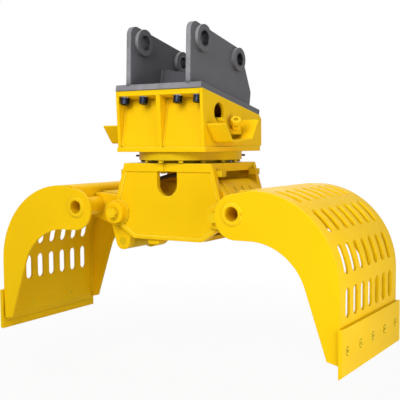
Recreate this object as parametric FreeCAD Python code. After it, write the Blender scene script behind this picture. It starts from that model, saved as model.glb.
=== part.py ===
import FreeCAD, Part
import math
import os

# Multi grapple: adapter and upper box, slewing lower frame, two slotted shells.
# Worked out in millimetres about the slew axis, with Z = 0 under the base plate of the
# upper box, -Y towards the front and +X towards the right shell. Every piece is then
# shifted so that the centre of the stick pin bore is the origin.

V = FreeCAD.Vector

# Upper box
BOX_HALF = 245.0            # half width over the side plates
BOX_SIDE_T = 16.0
BOX_BASE_T = 22.0
BOX_TOP_T = 25.0
BOX_FRONT_FOOT = -273.0     # Y of the front face at the base
BOX_FRONT_HEAD = -287.0     # and at the head
BOX_REAR = 298.0            # rear edge of the side plates
BOX_HEAD_BEVEL = 23.0       # chamfer at the head of the rear edge, along Y
BOX_BEVEL_H = 19.0          # and in height
BOX_FOOT_BEVEL = 10.0       # chamfer at the foot of the rear edge
BASE_SHORT = 26.0           # base plate ends this far before the rear edge
BASE_LEDGE = 6.0            # base plate outside the side plates
REAR_PANEL_Y = 262.0
PANEL_T = 10.0
PANEL_FOOT_BACK = 10.0      # how far the front panel stands back at its foot
PANEL_HEAD_BACK = 68.0      # and at its head
RIB_T = 24.0
REAR_PANEL_T = 12.0
SIDE_HOLE_R = 46.5
SIDE_HOLE_Y = -136.0
SIDE_HOLE_Z = 185.0

# Adapter, in its own tilted frame: u runs back along the plate, n stands up from its face
ADAPTER_TILT = 11.05        # degrees, plate slopes down to the rear
ADAPTER_EDGE_Y = -288.0
ADAPTER_EDGE_Z = 321.0
ADAPTER_HALF = BOX_HALF - 4.0
ADAPTER_LEN = 585.0
ADAPTER_T = 28.0
EAR_INSIDE = 155.5
EAR_T = 25.0
BOSS_RISE = 18.0
STICK_U = 63.0
STICK_N = 223.0
STICK_PIN_R = 35.0
STICK_BOSS_R = 64.0
LINK_U = 410.0
LINK_N = 219.0
LINK_PIN_R = 30.0
LINK_BOSS_R = 58.0
BUSH_WALL = 7.5
EAR_FRONT_R = 45.0          # rounding of the ear's front top corner
EAR_FRONT_U = 8.0
EAR_FRONT_N = 241.0
EAR_REAR_R = 25.0           # rounding of the ear's rear corner
EAR_REAR_N = 85.0
EAR_LINK_EDGE = 60.0        # ear edge about the link bore
CROSS_U = 267.0
CROSS_T = 30.0
CROSS_N = 147.0
CROSS_DIP = 22.0            # sag of the cross plate's top edge
SCREW_SIDE_INSET = 39.0      # outer screws from the box's sides
SCREW_GAP = 109.0           # outer to inner screws
SCREW_INSET = 32.0          # from the box's front and rear edges
SCREW_R = 15.0
SCREW_HEAD_R = 21.5
SCREW_HEAD_H = 34.0
SCREW_SOCKET_AF = 22.0
SCREW_FIT = 0.5

# Hose guards on both sides of the box
GUARD_OUT = 347.0
GUARD_T = 8.0
GUARD_BEND_R = 26.0
GUARD_PROFILE = ((-257.0, 125.0), (-188.0, 40.0), (8.0, 54.0), (76.0, 148.0))

# Hose fittings on the side plates
COUPLING_OUT = 38.0         # block on the side plate
COUPLING_Y0 = -31.0
COUPLING_Y1 = 15.0
COUPLING_Z = 95.0           # its middle
COUPLING_H = 26.0
COUPLING_R = 15.0
COUPLING_LEN = 79.0         # from the block's middle to the plug's face
COUPLING_LEAN = 46.0        # degrees above level
COUPLING_TURN = 30.0        # degrees outwards from straight forward
COUPLING_COLLAR_R = 20.0
PLUG_HEX_AF = 46.0
PLUG_HEX_H = 22.0
PLUG_SOCKET_R = 11.0
PLUG_SOCKET_D = 7.0
PORT_Y = -137.0
PORT_R = 11.0
PORT_SEAT = 0.2             # port over the lower edge of the side hole
PORT_LEN = 26.0

# Slew ring
RING_OUT_R = BOX_HALF + 11.0
RING_H = 40.0
RING_SPLIT_R = RING_OUT_R - 52.0    # where outer and inner ring meet
RING_GAP = 1.0
RING_DROP = 55.0            # underside of the inner ring below the base plate
RING_LIFT = 4.0             # inner ring stays this far under the base plate
GEAR_TEETH = 60
PINION_TEETH = 15
PINION_H = 40.0
GEAR_BACKLASH = 0.9
GEAR_TIP_GAP = 1.4
RING_BOLT_COUNT = 14
RING_BOLT_PITCH_R = RING_OUT_R - 21.0
RING_BOLT_AF = 24.0
RING_BOLT_H = 12.0
RING_BOLT_START = 8.0
RING_BOLT_R = 7.0
INNER_BOLT_COUNT = 12
INNER_BOLT_PITCH_R = RING_SPLIT_R - 22.0
GEAR_R = INNER_BOLT_PITCH_R - 17.0  # pitch radius of the internal teeth
GEAR_MODULE = 2 * GEAR_R / GEAR_TEETH
INNER_BOLT_START = 15.0
INNER_BOLT_AF = 22.0
NIPPLE_Z = -20.0
NIPPLE_TURN = 31.0          # degrees about the slew axis
NIPPLE_R = 5.0
NIPPLE_LEN = 13.0

# Slew motor and rotary union
MOTOR_REACH = GEAR_R * (1 - PINION_TEETH / GEAR_TEETH)     # from the slew axis
MOTOR_FLANGE_R = MOTOR_REACH - 53.75
MOTOR_R = MOTOR_FLANGE_R - 18.0
MOTOR_FLANGE_T = 16.0
MOTOR_H = 125.0
SHAFT_R = 15.0
UNION_R = 48.0
UNION_H = 70.0
ROTOR_R = 30.0
ROTOR_DROP = 126.0
UNION_FIT = 0.05

# Lower frame
FRAME_FACE = INNER_BOLT_PITCH_R + 38.0      # outer face of the front and rear plate
FRAME_PLATE_T = 30.0
FRAME_TOP_T = 39.0
FRAME_TOP_HALF = RING_OUT_R - 7.0
FRAME_SIDE = ((303.0, -240.0), (304.0, -300.0), (292.0, -360.0), (195.0, -425.0))
RIM_W = 14.0                # raised rim round the front plate
RIM_SLOPE = 5.0             # width of its sloping inner side
RIM_D = 5.0
RIM_TOP = -96.0             # flush strip over this level
GROOVE_X0 = -16.0           # upright groove in that strip
GROOVE_X1 = 1.0
GROOVE_D = 4.0
WINDOW_HALF = 57.0
WINDOW_ARCH_Z = -156.0
BELLY_T = 20.0
BELLY_LEFT = -60.0
BELLY_RIGHT = 195.0
BRACKET_X0 = FRAME_TOP_HALF + 1.0
BRACKET_W = 40.0
BRACKET_TOP = -87.0
BRACKET_H = 30.0
BRACKET_D = 40.0

# Main pivots
PIVOT_X = 290.0
PIVOT_Z = -300.0
PIVOT_PIN_R = 40.0
PIVOT_FIT = 0.05
PIVOT_BUSH_R = 50.0
PIVOT_RING_R = 60.0
PIVOT_RING_T = 12.0
CAP_R = 53.0
CAP_T = 24.0
CAP_BOLT_AF = 46.0
CAP_BOLT_H = 22.0
CAP_BOLT_R = 15.0
CAP_WASHER_R = 28.0
CAP_WASHER_T = 5.0

# Shells, right one given and the left one mirrored
SHELL_FACE = FRAME_FACE + 145.0     # outer face of the side plates
SHELL_SIDE_T = 12.0
SHELL_SHEET_T = 12.0
TUBE_X = 439.0
TUBE_Z = -270.0
TUBE_R = 45.0
TUBE_BORE_R = 33.0
TUBE_HALF = SHELL_FACE + 8.0
BOSS_X = 452.0
BOSS_Z = -283.0
SHELL_BOSS_R = 102.0
CROWN_X = 540.0
CROWN_Z = -565.0            # centre of the crown arc
CROWN_R = 400.0
HOLLOW_X = 525.0            # centre of the inner edge's arc
HOLLOW_Z = -660.0
HOLLOW_R = 275.0
HOLLOW_END = 18.4           # degrees, where the arc runs into the straight edge
TOE_IN_X = 884.0
TOE_IN_Z = -866.0
TOE_OUT_X = 934.0
TOE_OUT_Z = -878.0
TOE_R = 16.0
SLOT_ROWS = 4
SLOT_COLUMNS = 7
SLOT_FIRST = -63.0          # along the outside, up from where the crown arc starts
SLOT_STEP = 186.0
SLOT_PITCH = 91.0
SLOT_LEN = 130.0
SLOT_W = 48.0
EDGE_T = 16.0
EDGE_HALF = SHELL_FACE + 14.0
EDGE_TOP = -725.0
EDGE_FOOT = -922.0
EDGE_TIP = -930.0
EDGE_BOLT_Z = -822.0
EDGE_BOLT_PITCH = 156.0
EDGE_BOLT_COUNT = 5
EDGE_BOLT_R = 12.0
EDGE_HEAD_R = 17.0
EDGE_HEAD_H = 9.0
EDGE_SEAT_R = 20.0          # counterbore in the cutting edge
EDGE_SEAT_D = 8.0
EDGE_SOCKET_AF = 14.0
SHEET_FOOT_IN = -858.0      # the sheet's foot is bevelled from its inner face
SHEET_FOOT_OUT = -896.0     # to its outer face

# Arms
ARM_SIDE_GAP = 0.5          # arm to frame plate
ARM_W = 39.5
ARM_OUT = FRAME_FACE - FRAME_PLATE_T - ARM_SIDE_GAP
ARM_IN = ARM_OUT - ARM_W
SHEET_END_Z = -240.0       # the sheet turns down on to the cross tube
SHEET_END_X = 450.0
SHEET_TURN_X = 462.0
SHEET_TURN_R = 30.0
ARM_HUB_R = 80.0
ARM_TUBE_R = 64.0
ARM_TOP_R = 52.0
CYL_PIN_REACH = 121.2
CYL_PIN_ANGLE = 117.0       # from the pivot at rest, right side
CYL_PIN_R = 22.0
COVER_T = 12.0
COVER_PROUD = 5.0           # cover stands this far over the arms' edges
COVER_TO = 135.0            # degrees about the cylinder pin, where the cover starts
HUB_BOSS_R = 62.0
HUB_BOSS_T = 40.0
PLUG_COUNT = 3
PLUG_PITCH = 75.0
PLUG_LEN = 30.0
PLUG_W = 12.0
SIDE_GAP = 0.4              # between parts that turn beside each other on one pin

# Cylinder
BARREL_R = 45.0
BARREL_BORE_R = 36.0
ROD_R = 25.0
ROD_FIT = 0.05
EYE_R = 41.0
EYE_HALF = 45.0
CYL_END = 62.0              # from the barrel's pin to the barrel's end cap
CYL_HEAD = 30.0             # thickness of the end cap
CYL_NECK_R = 28.0
PIN_SLEEVE_R = 32.0
PORT_BLOCK_R = 16.0
PORT_BLOCK_H = 12.0
GLAND_LEN = 40.0
GLAND_SPARE = 4.0           # rod eye to gland, drawn in
PISTON_LEN = 30.0

# Tie rod between the shells
TIE_REACH = 148.0
TIE_LEFT_ANGLE = -88.0      # from the left pivot
TIE_RIGHT_ANGLE = 150.0     # from the right pivot
TIE_EYE_R = 55.0
TIE_EYE_Y0 = BARREL_R + 3.0     # clear of the cylinder
TIE_EYE_Y1 = ARM_IN - 2.0
TIE_BAR_R = 24.0
TIE_PIN_R = 20.0
TIE_END_R = 32.0
TIE_END_HALF = 25.0
TIE_Y = BARREL_R + 55.0
LUG_T = 20.0
LUG_R = 38.0
LOWER_HUB_R = 42.0

# Hose in the lower frame, held at both ends: a route of points in the slew frame
HOSE_R = 10.0
HOSE_WALL = 4.0             # fittings stand this far over the hose
HOSE_FLANGE_R = 26.0
HOSE_FLANGE_T = 10.0
HOSE_ROUTE = (
    (-58.0, -21.0, -116.0),
    (-92.0, -33.0, -120.0),
    (-121.0, -55.0, -129.0),
    (-142.0, -84.0, -139.0),
    (-154.0, -118.0, -145.0),
    (-156.0, -154.0, -147.0),
)


def point_on(x, z, r, degrees):
    """Point at a radius and angle from a centre."""
    a = math.radians(degrees)
    return (x + r * math.cos(a), z + r * math.sin(a))


def on_xz(a, b):
    return V(a, 0, b)


def on_yz(a, b):
    return V(0, a, b)


def on_xy(a, b):
    return V(a, b, 0)


ALONG = {on_xz: V(0, 1, 0), on_yz: V(1, 0, 0), on_xy: V(0, 0, 1)}


def arc_through(place, a, mid, b):
    return Part.Arc(place(*a), place(*mid), place(*b)).toShape()


def rounded(corners, place):
    """Closed outline from corners (a, b) or (a, b, radius)."""
    count = len(corners)
    pieces = []
    for i in range(count):
        here = V(corners[i][0], corners[i][1], 0)
        before = V(corners[i - 1][0], corners[i - 1][1], 0)
        after = V(corners[(i + 1) % count][0], corners[(i + 1) % count][1], 0)
        radius = corners[i][2] if len(corners[i]) > 2 else 0
        to_before = (before - here).normalize()
        to_after = (after - here).normalize()
        if radius <= 0:
            pieces.append((here, None, here))
            continue
        half = to_before.getAngle(to_after) / 2
        reach = radius / math.tan(half)
        middle = (to_before + to_after).normalize()
        centre = here + middle * (radius / math.sin(half))
        pieces.append((here + to_before * reach, centre - middle * radius, here + to_after * reach))
    edges = []
    for i in range(count):
        start, mid, end = pieces[i]
        if mid is not None:
            edges.append(arc_through(place, (start.x, start.y), (mid.x, mid.y), (end.x, end.y)))
        following = pieces[(i + 1) % count][0]
        if (following - end).Length > 1e-6:
            edges.append(Part.LineSegment(place(end.x, end.y), place(following.x, following.y)).toShape())
    return Part.Wire(edges)


def belt(circles, place):
    """Closed outline drawn tight round circles (a, b, radius), taken anticlockwise."""
    count = len(circles)
    normals = []
    for i in range(count):
        a0, b0, r0 = circles[i]
        a1, b1, r1 = circles[(i + 1) % count]
        span = math.hypot(a1 - a0, b1 - b0)
        heading = math.atan2(b1 - b0, a1 - a0)
        normals.append(heading - math.acos((r0 - r1) / span))
    edges = []
    for i in range(count):
        a, b, r = circles[i]
        first = normals[i - 1]
        last = normals[i]
        while last < first:
            last += 2 * math.pi
        turn = [(a + r * math.cos(t), b + r * math.sin(t)) for t in (first, (first + last) / 2, last)]
        if r > 0:
            edges.append(arc_through(place, *turn))
        a1, b1, r1 = circles[(i + 1) % count]
        out = (a1 + r1 * math.cos(last), b1 + r1 * math.sin(last))
        edges.append(Part.LineSegment(place(*turn[2]), place(*out)).toShape())
    return Part.Wire(edges)


def prism(wire, place, low, high):
    """Solid between two levels along the normal of the outline's plane."""
    along = ALONG[place]
    face = Part.Face(wire)
    face.translate(along * low)
    return face.extrude(along * (high - low))


def slab(x0, x1, y0, y1, z0, z1):
    return Part.makeBox(x1 - x0, y1 - y0, z1 - z0, V(x0, y0, z0))


def rod_y(x, z, r, y0, y1):
    return Part.makeCylinder(r, y1 - y0, V(x, y0, z), V(0, 1, 0))


def rod_z(x, y, r, z0, z1):
    return Part.makeCylinder(r, z1 - z0, V(x, y, z0), V(0, 0, 1))


def rod_x(y, z, r, x0, x1):
    return Part.makeCylinder(r, x1 - x0, V(x0, y, z), V(1, 0, 0))


def ring_y(x, z, r_out, r_in, y0, y1):
    return rod_y(x, z, r_out, y0, y1).cut(rod_y(x, z, r_in, y0, y1))


def ring_z(r_out, r_in, z0, z1):
    return rod_z(0, 0, r_out, z0, z1).cut(rod_z(0, 0, r_in, z0, z1))


def hexagon(a, b, across_flats, place, start=0.0):
    """Hexagon outline about a centre."""
    r = across_flats / math.sqrt(3)
    return rounded([point_on(a, b, r, start + 60 * k) for k in range(6)], place)


def mirror_x(shape):
    return shape.mirror(V(0, 0, 0), V(1, 0, 0))


def mirror_y(shape):
    return shape.mirror(V(0, 0, 0), V(0, 1, 0))


def both_faces(shape):
    """A piece and its twin on the other side of the middle plane."""
    return Part.makeCompound([shape, mirror_y(shape)])


def tilted(shape):
    """From the adapter's own frame, with Y as u and Z as n, into place."""
    turned = shape.copy()
    turned.rotate(V(0, 0, 0), V(1, 0, 0), -ADAPTER_TILT)
    turned.translate(V(0, ADAPTER_EDGE_Y, ADAPTER_EDGE_Z))
    return turned


def in_adapter(u, n):
    """Place of an adapter point in Y and Z."""
    a = math.radians(ADAPTER_TILT)
    return (ADAPTER_EDGE_Y + u * math.cos(a) + n * math.sin(a),
            ADAPTER_EDGE_Z - u * math.sin(a) + n * math.cos(a))


ORIGIN_Y, ORIGIN_Z = in_adapter(STICK_U, STICK_N)


def put(name, shape):
    """Shift to the stick pin bore and write one piece."""
    moved = shape.copy()
    moved.translate(V(0, -ORIGIN_Y, -ORIGIN_Z))
    moved.exportStep("parts/" + name + ".step")


def plate_under(y):
    """Z of the top plate's underside at a place along Y."""
    edge_y, edge_z = in_adapter(0, -ADAPTER_T - BOX_TOP_T)
    return edge_z - (y - edge_y) * math.tan(math.radians(ADAPTER_TILT))


def plate_over(y):
    """Z of the top plate's upper face at a place along Y."""
    edge_y, edge_z = in_adapter(0, -ADAPTER_T)
    return edge_z - (y - edge_y) * math.tan(math.radians(ADAPTER_TILT))


def u_at(y, n):
    """Distance along the adapter of a place given by its Y."""
    a = math.radians(ADAPTER_TILT)
    return (y - ADAPTER_EDGE_Y - n * math.sin(a)) / math.cos(a)


BOX_IN = BOX_HALF - BOX_SIDE_T
SCREW_OUT_X = BOX_HALF - SCREW_SIDE_INSET
SCREW_X = (-SCREW_OUT_X, SCREW_GAP - SCREW_OUT_X, SCREW_OUT_X - SCREW_GAP, SCREW_OUT_X)
PINION_PITCH_R = PINION_TEETH * GEAR_MODULE / 2
PINION_Y = GEAR_R - PINION_PITCH_R
SCREW_U = (u_at(BOX_FRONT_HEAD, -ADAPTER_T) + SCREW_INSET,
           u_at(BOX_REAR - BOX_HEAD_BEVEL, -ADAPTER_T) - SCREW_INSET)


def screw_holes(low, high):
    """Clearance holes of the adapter screws between two levels, in the adapter's frame."""
    return [rod_z(x, u, SCREW_R + SCREW_FIT, low, high) for x in SCREW_X for u in SCREW_U]


def adapter_plate():
    plate = slab(-ADAPTER_HALF, ADAPTER_HALF, 0, ADAPTER_LEN, -ADAPTER_T, 0)
    return tilted(plate.cut(screw_holes(-ADAPTER_T, 0)))


def ear(side):
    """One ear with its two bosses; side is -1 for the left and 1 for the right."""
    outline = belt(((0, 0, 0), (ADAPTER_LEN, 0, 0),
                    (ADAPTER_LEN - EAR_REAR_R, EAR_REAR_N, EAR_REAR_R),
                    (LINK_U, LINK_N, EAR_LINK_EDGE),
                    (EAR_FRONT_U, EAR_FRONT_N, EAR_FRONT_R)), on_yz)
    inside = EAR_INSIDE - BOSS_RISE
    outside = EAR_INSIDE + EAR_T + BOSS_RISE
    body = prism(outline, on_yz, EAR_INSIDE, EAR_INSIDE + EAR_T)
    bosses = [rod_x(STICK_U, STICK_N, STICK_BOSS_R, inside, outside),
              rod_x(LINK_U, LINK_N, LINK_BOSS_R, inside, outside)]
    bores = [rod_x(STICK_U, STICK_N, STICK_PIN_R + BUSH_WALL, inside, outside),
             rod_x(LINK_U, LINK_N, LINK_PIN_R + BUSH_WALL, inside, outside)]
    whole = tilted(body.fuse(bosses).cut(bores).removeSplitter())
    return whole if side > 0 else mirror_x(whole)


def bushes(u, n, bore_r):
    """Two bushes on one axis, one in each ear."""
    inside = EAR_INSIDE - BOSS_RISE
    outside = EAR_INSIDE + EAR_T + BOSS_RISE
    bush = rod_x(u, n, bore_r + BUSH_WALL, inside, outside).cut(rod_x(u, n, bore_r, inside, outside))
    right = tilted(bush)
    return Part.makeCompound([right, mirror_x(right)])


def cross_plate():
    """Plate between the ears, its top edge dished."""
    half = EAR_INSIDE
    top = V(-half, 0, CROSS_N), V(0, 0, CROSS_N - CROSS_DIP), V(half, 0, CROSS_N)
    edges = [Part.Arc(*top).toShape(),
             Part.LineSegment(V(half, 0, CROSS_N), V(half, 0, 0)).toShape(),
             Part.LineSegment(V(half, 0, 0), V(-half, 0, 0)).toShape(),
             Part.LineSegment(V(-half, 0, 0), V(-half, 0, CROSS_N)).toShape()]
    return tilted(prism(Part.Wire(edges), on_xz, CROSS_U - CROSS_T / 2, CROSS_U + CROSS_T / 2))


def adapter_screws():
    """Socket head screws, heads under the box's top plate."""
    seat = -ADAPTER_T - BOX_TOP_T
    foot = seat - SCREW_HEAD_H
    screws = []
    for x in SCREW_X:
        for u in SCREW_U:
            head = rod_z(x, u, SCREW_HEAD_R, foot, seat)
            socket = prism(hexagon(x, u, SCREW_SOCKET_AF, on_xy), on_xy, foot, foot + SCREW_HEAD_H / 2)
            shank = rod_z(x, u, SCREW_R, seat, 0)
            screws.append(tilted(head.cut(socket).fuse(shank).removeSplitter()))
    return Part.makeCompound(screws)


def box_top_plate():
    low = -ADAPTER_T - BOX_TOP_T
    front = u_at(BOX_FRONT_HEAD, -ADAPTER_T)
    rear = u_at(BOX_REAR - BOX_HEAD_BEVEL, -ADAPTER_T)
    plate = slab(-BOX_IN, BOX_IN, front, rear, low, -ADAPTER_T)
    return tilted(plate.cut(screw_holes(low, -ADAPTER_T)))


def box_base_plate():
    half = BOX_HALF + BASE_LEDGE
    plate = slab(-half, half, BOX_FRONT_FOOT, BOX_REAR - BASE_SHORT, 0, BOX_BASE_T)
    holes = [rod_z(0, 0, ROTOR_R + RING_GAP, 0, BOX_BASE_T),
             rod_z(0, PINION_Y, MOTOR_R, 0, BOX_BASE_T)]
    holes += ring_bolt_holes(RING_BOLT_COUNT, RING_BOLT_PITCH_R, RING_BOLT_START, 0, BOX_BASE_T)
    return plate.cut(holes)


def box_side(side):
    """Side plate with the hose hole; side is -1 for the left and 1 for the right."""
    head_rear = BOX_REAR - BOX_HEAD_BEVEL
    outline = rounded(((BOX_FRONT_FOOT, BOX_BASE_T), (BOX_REAR - BOX_FOOT_BEVEL, BOX_BASE_T),
                       (BOX_REAR, BOX_BASE_T + BOX_FOOT_BEVEL),
                       (BOX_REAR, plate_over(head_rear) - BOX_BEVEL_H),
                       (head_rear, plate_over(head_rear)),
                       (BOX_FRONT_HEAD, plate_over(BOX_FRONT_HEAD))), on_yz)
    plate = prism(outline, on_yz, BOX_IN, BOX_HALF)
    plate = plate.cut(rod_x(SIDE_HOLE_Y, SIDE_HOLE_Z, SIDE_HOLE_R, BOX_IN, BOX_HALF))
    return handed(plate, side)


PANEL_FOOT_Y = BOX_FRONT_FOOT + PANEL_FOOT_BACK
PANEL_HEAD_Y = BOX_FRONT_HEAD + PANEL_HEAD_BACK


def box_front_panel():
    """Panel behind the front opening, leaning back at the top."""
    outline = rounded(((PANEL_FOOT_Y, BOX_BASE_T), (PANEL_FOOT_Y + PANEL_T, BOX_BASE_T),
                       (PANEL_HEAD_Y + PANEL_T, plate_under(PANEL_HEAD_Y + PANEL_T)),
                       (PANEL_HEAD_Y, plate_under(PANEL_HEAD_Y))), on_yz)
    return prism(outline, on_yz, -BOX_IN, BOX_IN)


def box_front_rib():
    """Upright rib in the middle of the front opening."""
    outline = rounded(((BOX_FRONT_FOOT, BOX_BASE_T), (PANEL_FOOT_Y, BOX_BASE_T),
                       (PANEL_HEAD_Y, plate_under(PANEL_HEAD_Y)),
                       (BOX_FRONT_HEAD, plate_under(BOX_FRONT_HEAD))), on_yz)
    return prism(outline, on_yz, -RIB_T / 2, RIB_T / 2)


def box_rear_panel():
    back = REAR_PANEL_Y + REAR_PANEL_T
    outline = rounded(((REAR_PANEL_Y, BOX_BASE_T), (back, BOX_BASE_T), (back, plate_under(back)),
                       (REAR_PANEL_Y, plate_under(REAR_PANEL_Y))), on_yz)
    return prism(outline, on_yz, -BOX_IN, BOX_IN)


def offset_strip(points, thickness, bend_r, place):
    """Outline of a bent strip: its outer side through the points, its inner side above."""
    inner = []
    for i, (a, b) in enumerate(points):
        before = V(*points[max(i - 1, 0)], 0)
        here = V(a, b, 0)
        after = V(*points[min(i + 1, len(points) - 1)], 0)
        first = (here - before if i > 0 else after - here).normalize()
        last = (after - here if i < len(points) - 1 else here - before).normalize()
        normal = V(-first.y - last.y, first.x + last.x, 0).normalize()
        lean = normal.dot(V(-first.y, first.x, 0))
        inner.append(here + normal * (thickness / lean))
    ends = (0, len(points) - 1)
    outer_side = [(a, b, 0 if i in ends else bend_r) for i, (a, b) in enumerate(points)]
    inner_side = [(p.x, p.y, 0 if i in ends else bend_r - thickness) for i, p in enumerate(inner)]
    return rounded(outer_side + inner_side[::-1], place)


def guard(side):
    """Bent strip guard round the hose fittings, open at the top and at the outer end."""
    strip = prism(offset_strip(GUARD_PROFILE, GUARD_T, GUARD_BEND_R, on_yz), on_yz, BOX_HALF, GUARD_OUT)
    return strip if side > 0 else mirror_x(strip)


def plugged_coupling():
    """Block on the side plate and a coupling leaning forward from it, closed by a hexagon plug."""
    block = slab(BOX_HALF, BOX_HALF + COUPLING_OUT, COUPLING_Y0, COUPLING_Y1,
                 COUPLING_Z - COUPLING_H / 2, COUPLING_Z + COUPLING_H / 2)
    hex_foot = COUPLING_LEN - PLUG_HEX_H
    body = rod_z(0, 0, COUPLING_R, 0, hex_foot)
    collar = rod_z(0, 0, COUPLING_COLLAR_R, hex_foot / 2, hex_foot - PLUG_HEX_H / 4)
    plug = prism(hexagon(0, 0, PLUG_HEX_AF, on_xy), on_xy, hex_foot, COUPLING_LEN)
    plug = plug.cut(rod_z(0, 0, PLUG_SOCKET_R, COUPLING_LEN - PLUG_SOCKET_D, COUPLING_LEN))
    stem = body.fuse([collar, plug]).removeSplitter()
    stem.rotate(V(0, 0, 0), V(1, 0, 0), 90 - COUPLING_LEAN)
    stem.rotate(V(0, 0, 0), V(0, 0, 1), COUPLING_TURN)
    stem.translate(V(BOX_HALF + COUPLING_OUT / 2, (COUPLING_Y0 + COUPLING_Y1) / 2, COUPLING_Z))
    return block.fuse(stem).removeSplitter()


def hose_fittings(side):
    """Plugged coupling and a small port, both from the side plate."""
    port_z = SIDE_HOLE_Z - SIDE_HOLE_R + PORT_R + PORT_SEAT
    port = rod_x(PORT_Y, port_z, PORT_R, BOX_IN - PORT_LEN, BOX_HALF + PORT_LEN)
    pair = Part.makeCompound([plugged_coupling(), port])
    return pair if side > 0 else mirror_x(pair)


def ring_bolt_holes(count, pitch_r, start, low, high):
    """Clearance holes on a circle about the slew axis."""
    places = [point_on(0, 0, pitch_r, start + 360 * k / count) for k in range(count)]
    return [rod_z(x, y, RING_BOLT_R + SCREW_FIT, low, high) for x, y in places]


def ring_bolts(count, pitch_r, start, across_flats, head, shank_end):
    """Hexagon bolts on a circle: head is (from, to), the shank runs on to shank_end."""
    bolts = []
    for k in range(count):
        angle = start + 360 * k / count
        x, y = point_on(0, 0, pitch_r, angle)
        low = min(head[1], shank_end)
        shank = rod_z(x, y, RING_BOLT_R, low, max(head[1], shank_end))
        cap = prism(hexagon(x, y, across_flats, on_xy, angle), on_xy, min(head), max(head))
        bolts.append(cap.fuse(shank).removeSplitter())
    return Part.makeCompound(bolts)


def involute_angle(r, base_r):
    """Polar angle of the involute at a radius."""
    if r <= base_r:
        return 0.0
    pressure = math.acos(base_r / r)
    return math.tan(pressure) - pressure


def gear_outline(teeth, tip_r, root_r, thin):
    """Involute teeth about the origin, one of them centred on +Y; thin is taken off each flank."""
    pitch_r = teeth * GEAR_MODULE / 2
    base_r = pitch_r * math.cos(math.radians(20))
    half = math.pi / (2 * teeth) - thin / pitch_r + involute_angle(pitch_r, base_r)
    low_r = max(base_r, root_r)
    radii = (low_r, (low_r + tip_r) / 2, tip_r)
    edges = []

    def at(r, angle):
        return V(r * math.cos(angle), r * math.sin(angle), 0)

    for k in range(teeth):
        middle = math.pi / 2 + 2 * math.pi * k / teeth
        next_middle = middle + 2 * math.pi / teeth
        rise = [at(r, middle - half + involute_angle(r, base_r)) for r in radii]
        fall = [at(r, middle + half - involute_angle(r, base_r)) for r in radii[::-1]]
        edges.append(Part.Arc(*rise).toShape())
        edges.append(Part.Arc(rise[-1], at(tip_r, middle), fall[0]).toShape())
        edges.append(Part.Arc(*fall).toShape())
        root_start = fall[-1]
        root_end = at(low_r, next_middle - half + involute_angle(low_r, base_r))
        if low_r > root_r:
            drop = at(root_r, middle + half)
            climb = at(root_r, next_middle - half)
            edges.append(Part.LineSegment(root_start, drop).toShape())
            edges.append(Part.Arc(drop, at(root_r, middle + math.pi / teeth), climb).toShape())
            edges.append(Part.LineSegment(climb, root_end).toShape())
        else:
            edges.append(Part.Arc(root_start, at(root_r, middle + math.pi / teeth), root_end).toShape())
    return Part.Wire(edges)


def slew_ring_outer():
    ring = ring_z(RING_OUT_R, RING_SPLIT_R + RING_GAP / 2, -RING_H, 0)
    return ring.cut(ring_bolt_holes(RING_BOLT_COUNT, RING_BOLT_PITCH_R, RING_BOLT_START, -RING_H, 0))


def slew_ring_inner():
    """Inner ring with its internal teeth."""
    top = -RING_LIFT
    tip = GEAR_R - GEAR_MODULE
    root = GEAR_R + GEAR_MODULE + GEAR_TIP_GAP
    space = prism(gear_outline(GEAR_TEETH, root, tip, -GEAR_BACKLASH / 2), on_xy, -RING_DROP, top)
    ring = rod_z(0, 0, RING_SPLIT_R - RING_GAP / 2, -RING_DROP, top).cut(space)
    return ring.cut(ring_bolt_holes(INNER_BOLT_COUNT, INNER_BOLT_PITCH_R, INNER_BOLT_START, -RING_DROP, top))


def drive_pinion():
    tip = PINION_PITCH_R + GEAR_MODULE
    root = PINION_PITCH_R - GEAR_MODULE - GEAR_TIP_GAP
    low = -RING_DROP + RING_LIFT
    gear = prism(gear_outline(PINION_TEETH, tip, root, 0), on_xy, low, low + PINION_H)
    gear = gear.cut(rod_z(0, 0, SHAFT_R + UNION_FIT, low, low + PINION_H))
    gear.translate(V(0, PINION_Y, 0))
    return gear


def slew_motor():
    """Motor on the base plate, its shaft down through the pinion."""
    flange = BOX_BASE_T + MOTOR_FLANGE_T
    flange_plate = rod_z(0, PINION_Y, MOTOR_FLANGE_R, BOX_BASE_T, flange)
    body = rod_z(0, PINION_Y, MOTOR_R, flange, flange + MOTOR_H)
    shaft = rod_z(0, PINION_Y, SHAFT_R, -RING_DROP + RING_LIFT, BOX_BASE_T)
    return flange_plate.fuse([body, shaft]).removeSplitter()


def grease_nipples():
    right = rod_x(0, NIPPLE_Z, NIPPLE_R, RING_OUT_R, RING_OUT_R + NIPPLE_LEN)
    head = Part.makeSphere(NIPPLE_R, V(RING_OUT_R + NIPPLE_LEN, 0, NIPPLE_Z))
    nipple = right.fuse(head).removeSplitter()
    pair = Part.makeCompound([nipple, mirror_x(nipple)])
    pair.rotate(V(0, 0, 0), V(0, 0, 1), NIPPLE_TURN)
    return pair


def union_housing():
    top = BOX_BASE_T + UNION_H
    return ring_z(UNION_R, ROTOR_R + UNION_FIT, BOX_BASE_T, top)


def union_rotor():
    """Turning core of the union, with a boss where the hose starts."""
    core = rod_z(0, 0, ROTOR_R, -ROTOR_DROP, BOX_BASE_T + UNION_H)
    start = V(*HOSE_ROUTE[0])
    back = (start - V(*HOSE_ROUTE[1])).normalize()
    length = V(start.x, start.y, 0).Length - ROTOR_R / 2
    nose = Part.makeCylinder(HOSE_R + HOSE_WALL, length, start, back)
    return core.fuse(nose).removeSplitter()


FRAME_IN = FRAME_FACE - FRAME_PLATE_T
FRAME_TOP_Z = -RING_DROP
FRAME_UNDER = FRAME_TOP_Z - FRAME_TOP_T
FRAME_FOOT = FRAME_SIDE[-1][1]


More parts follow.
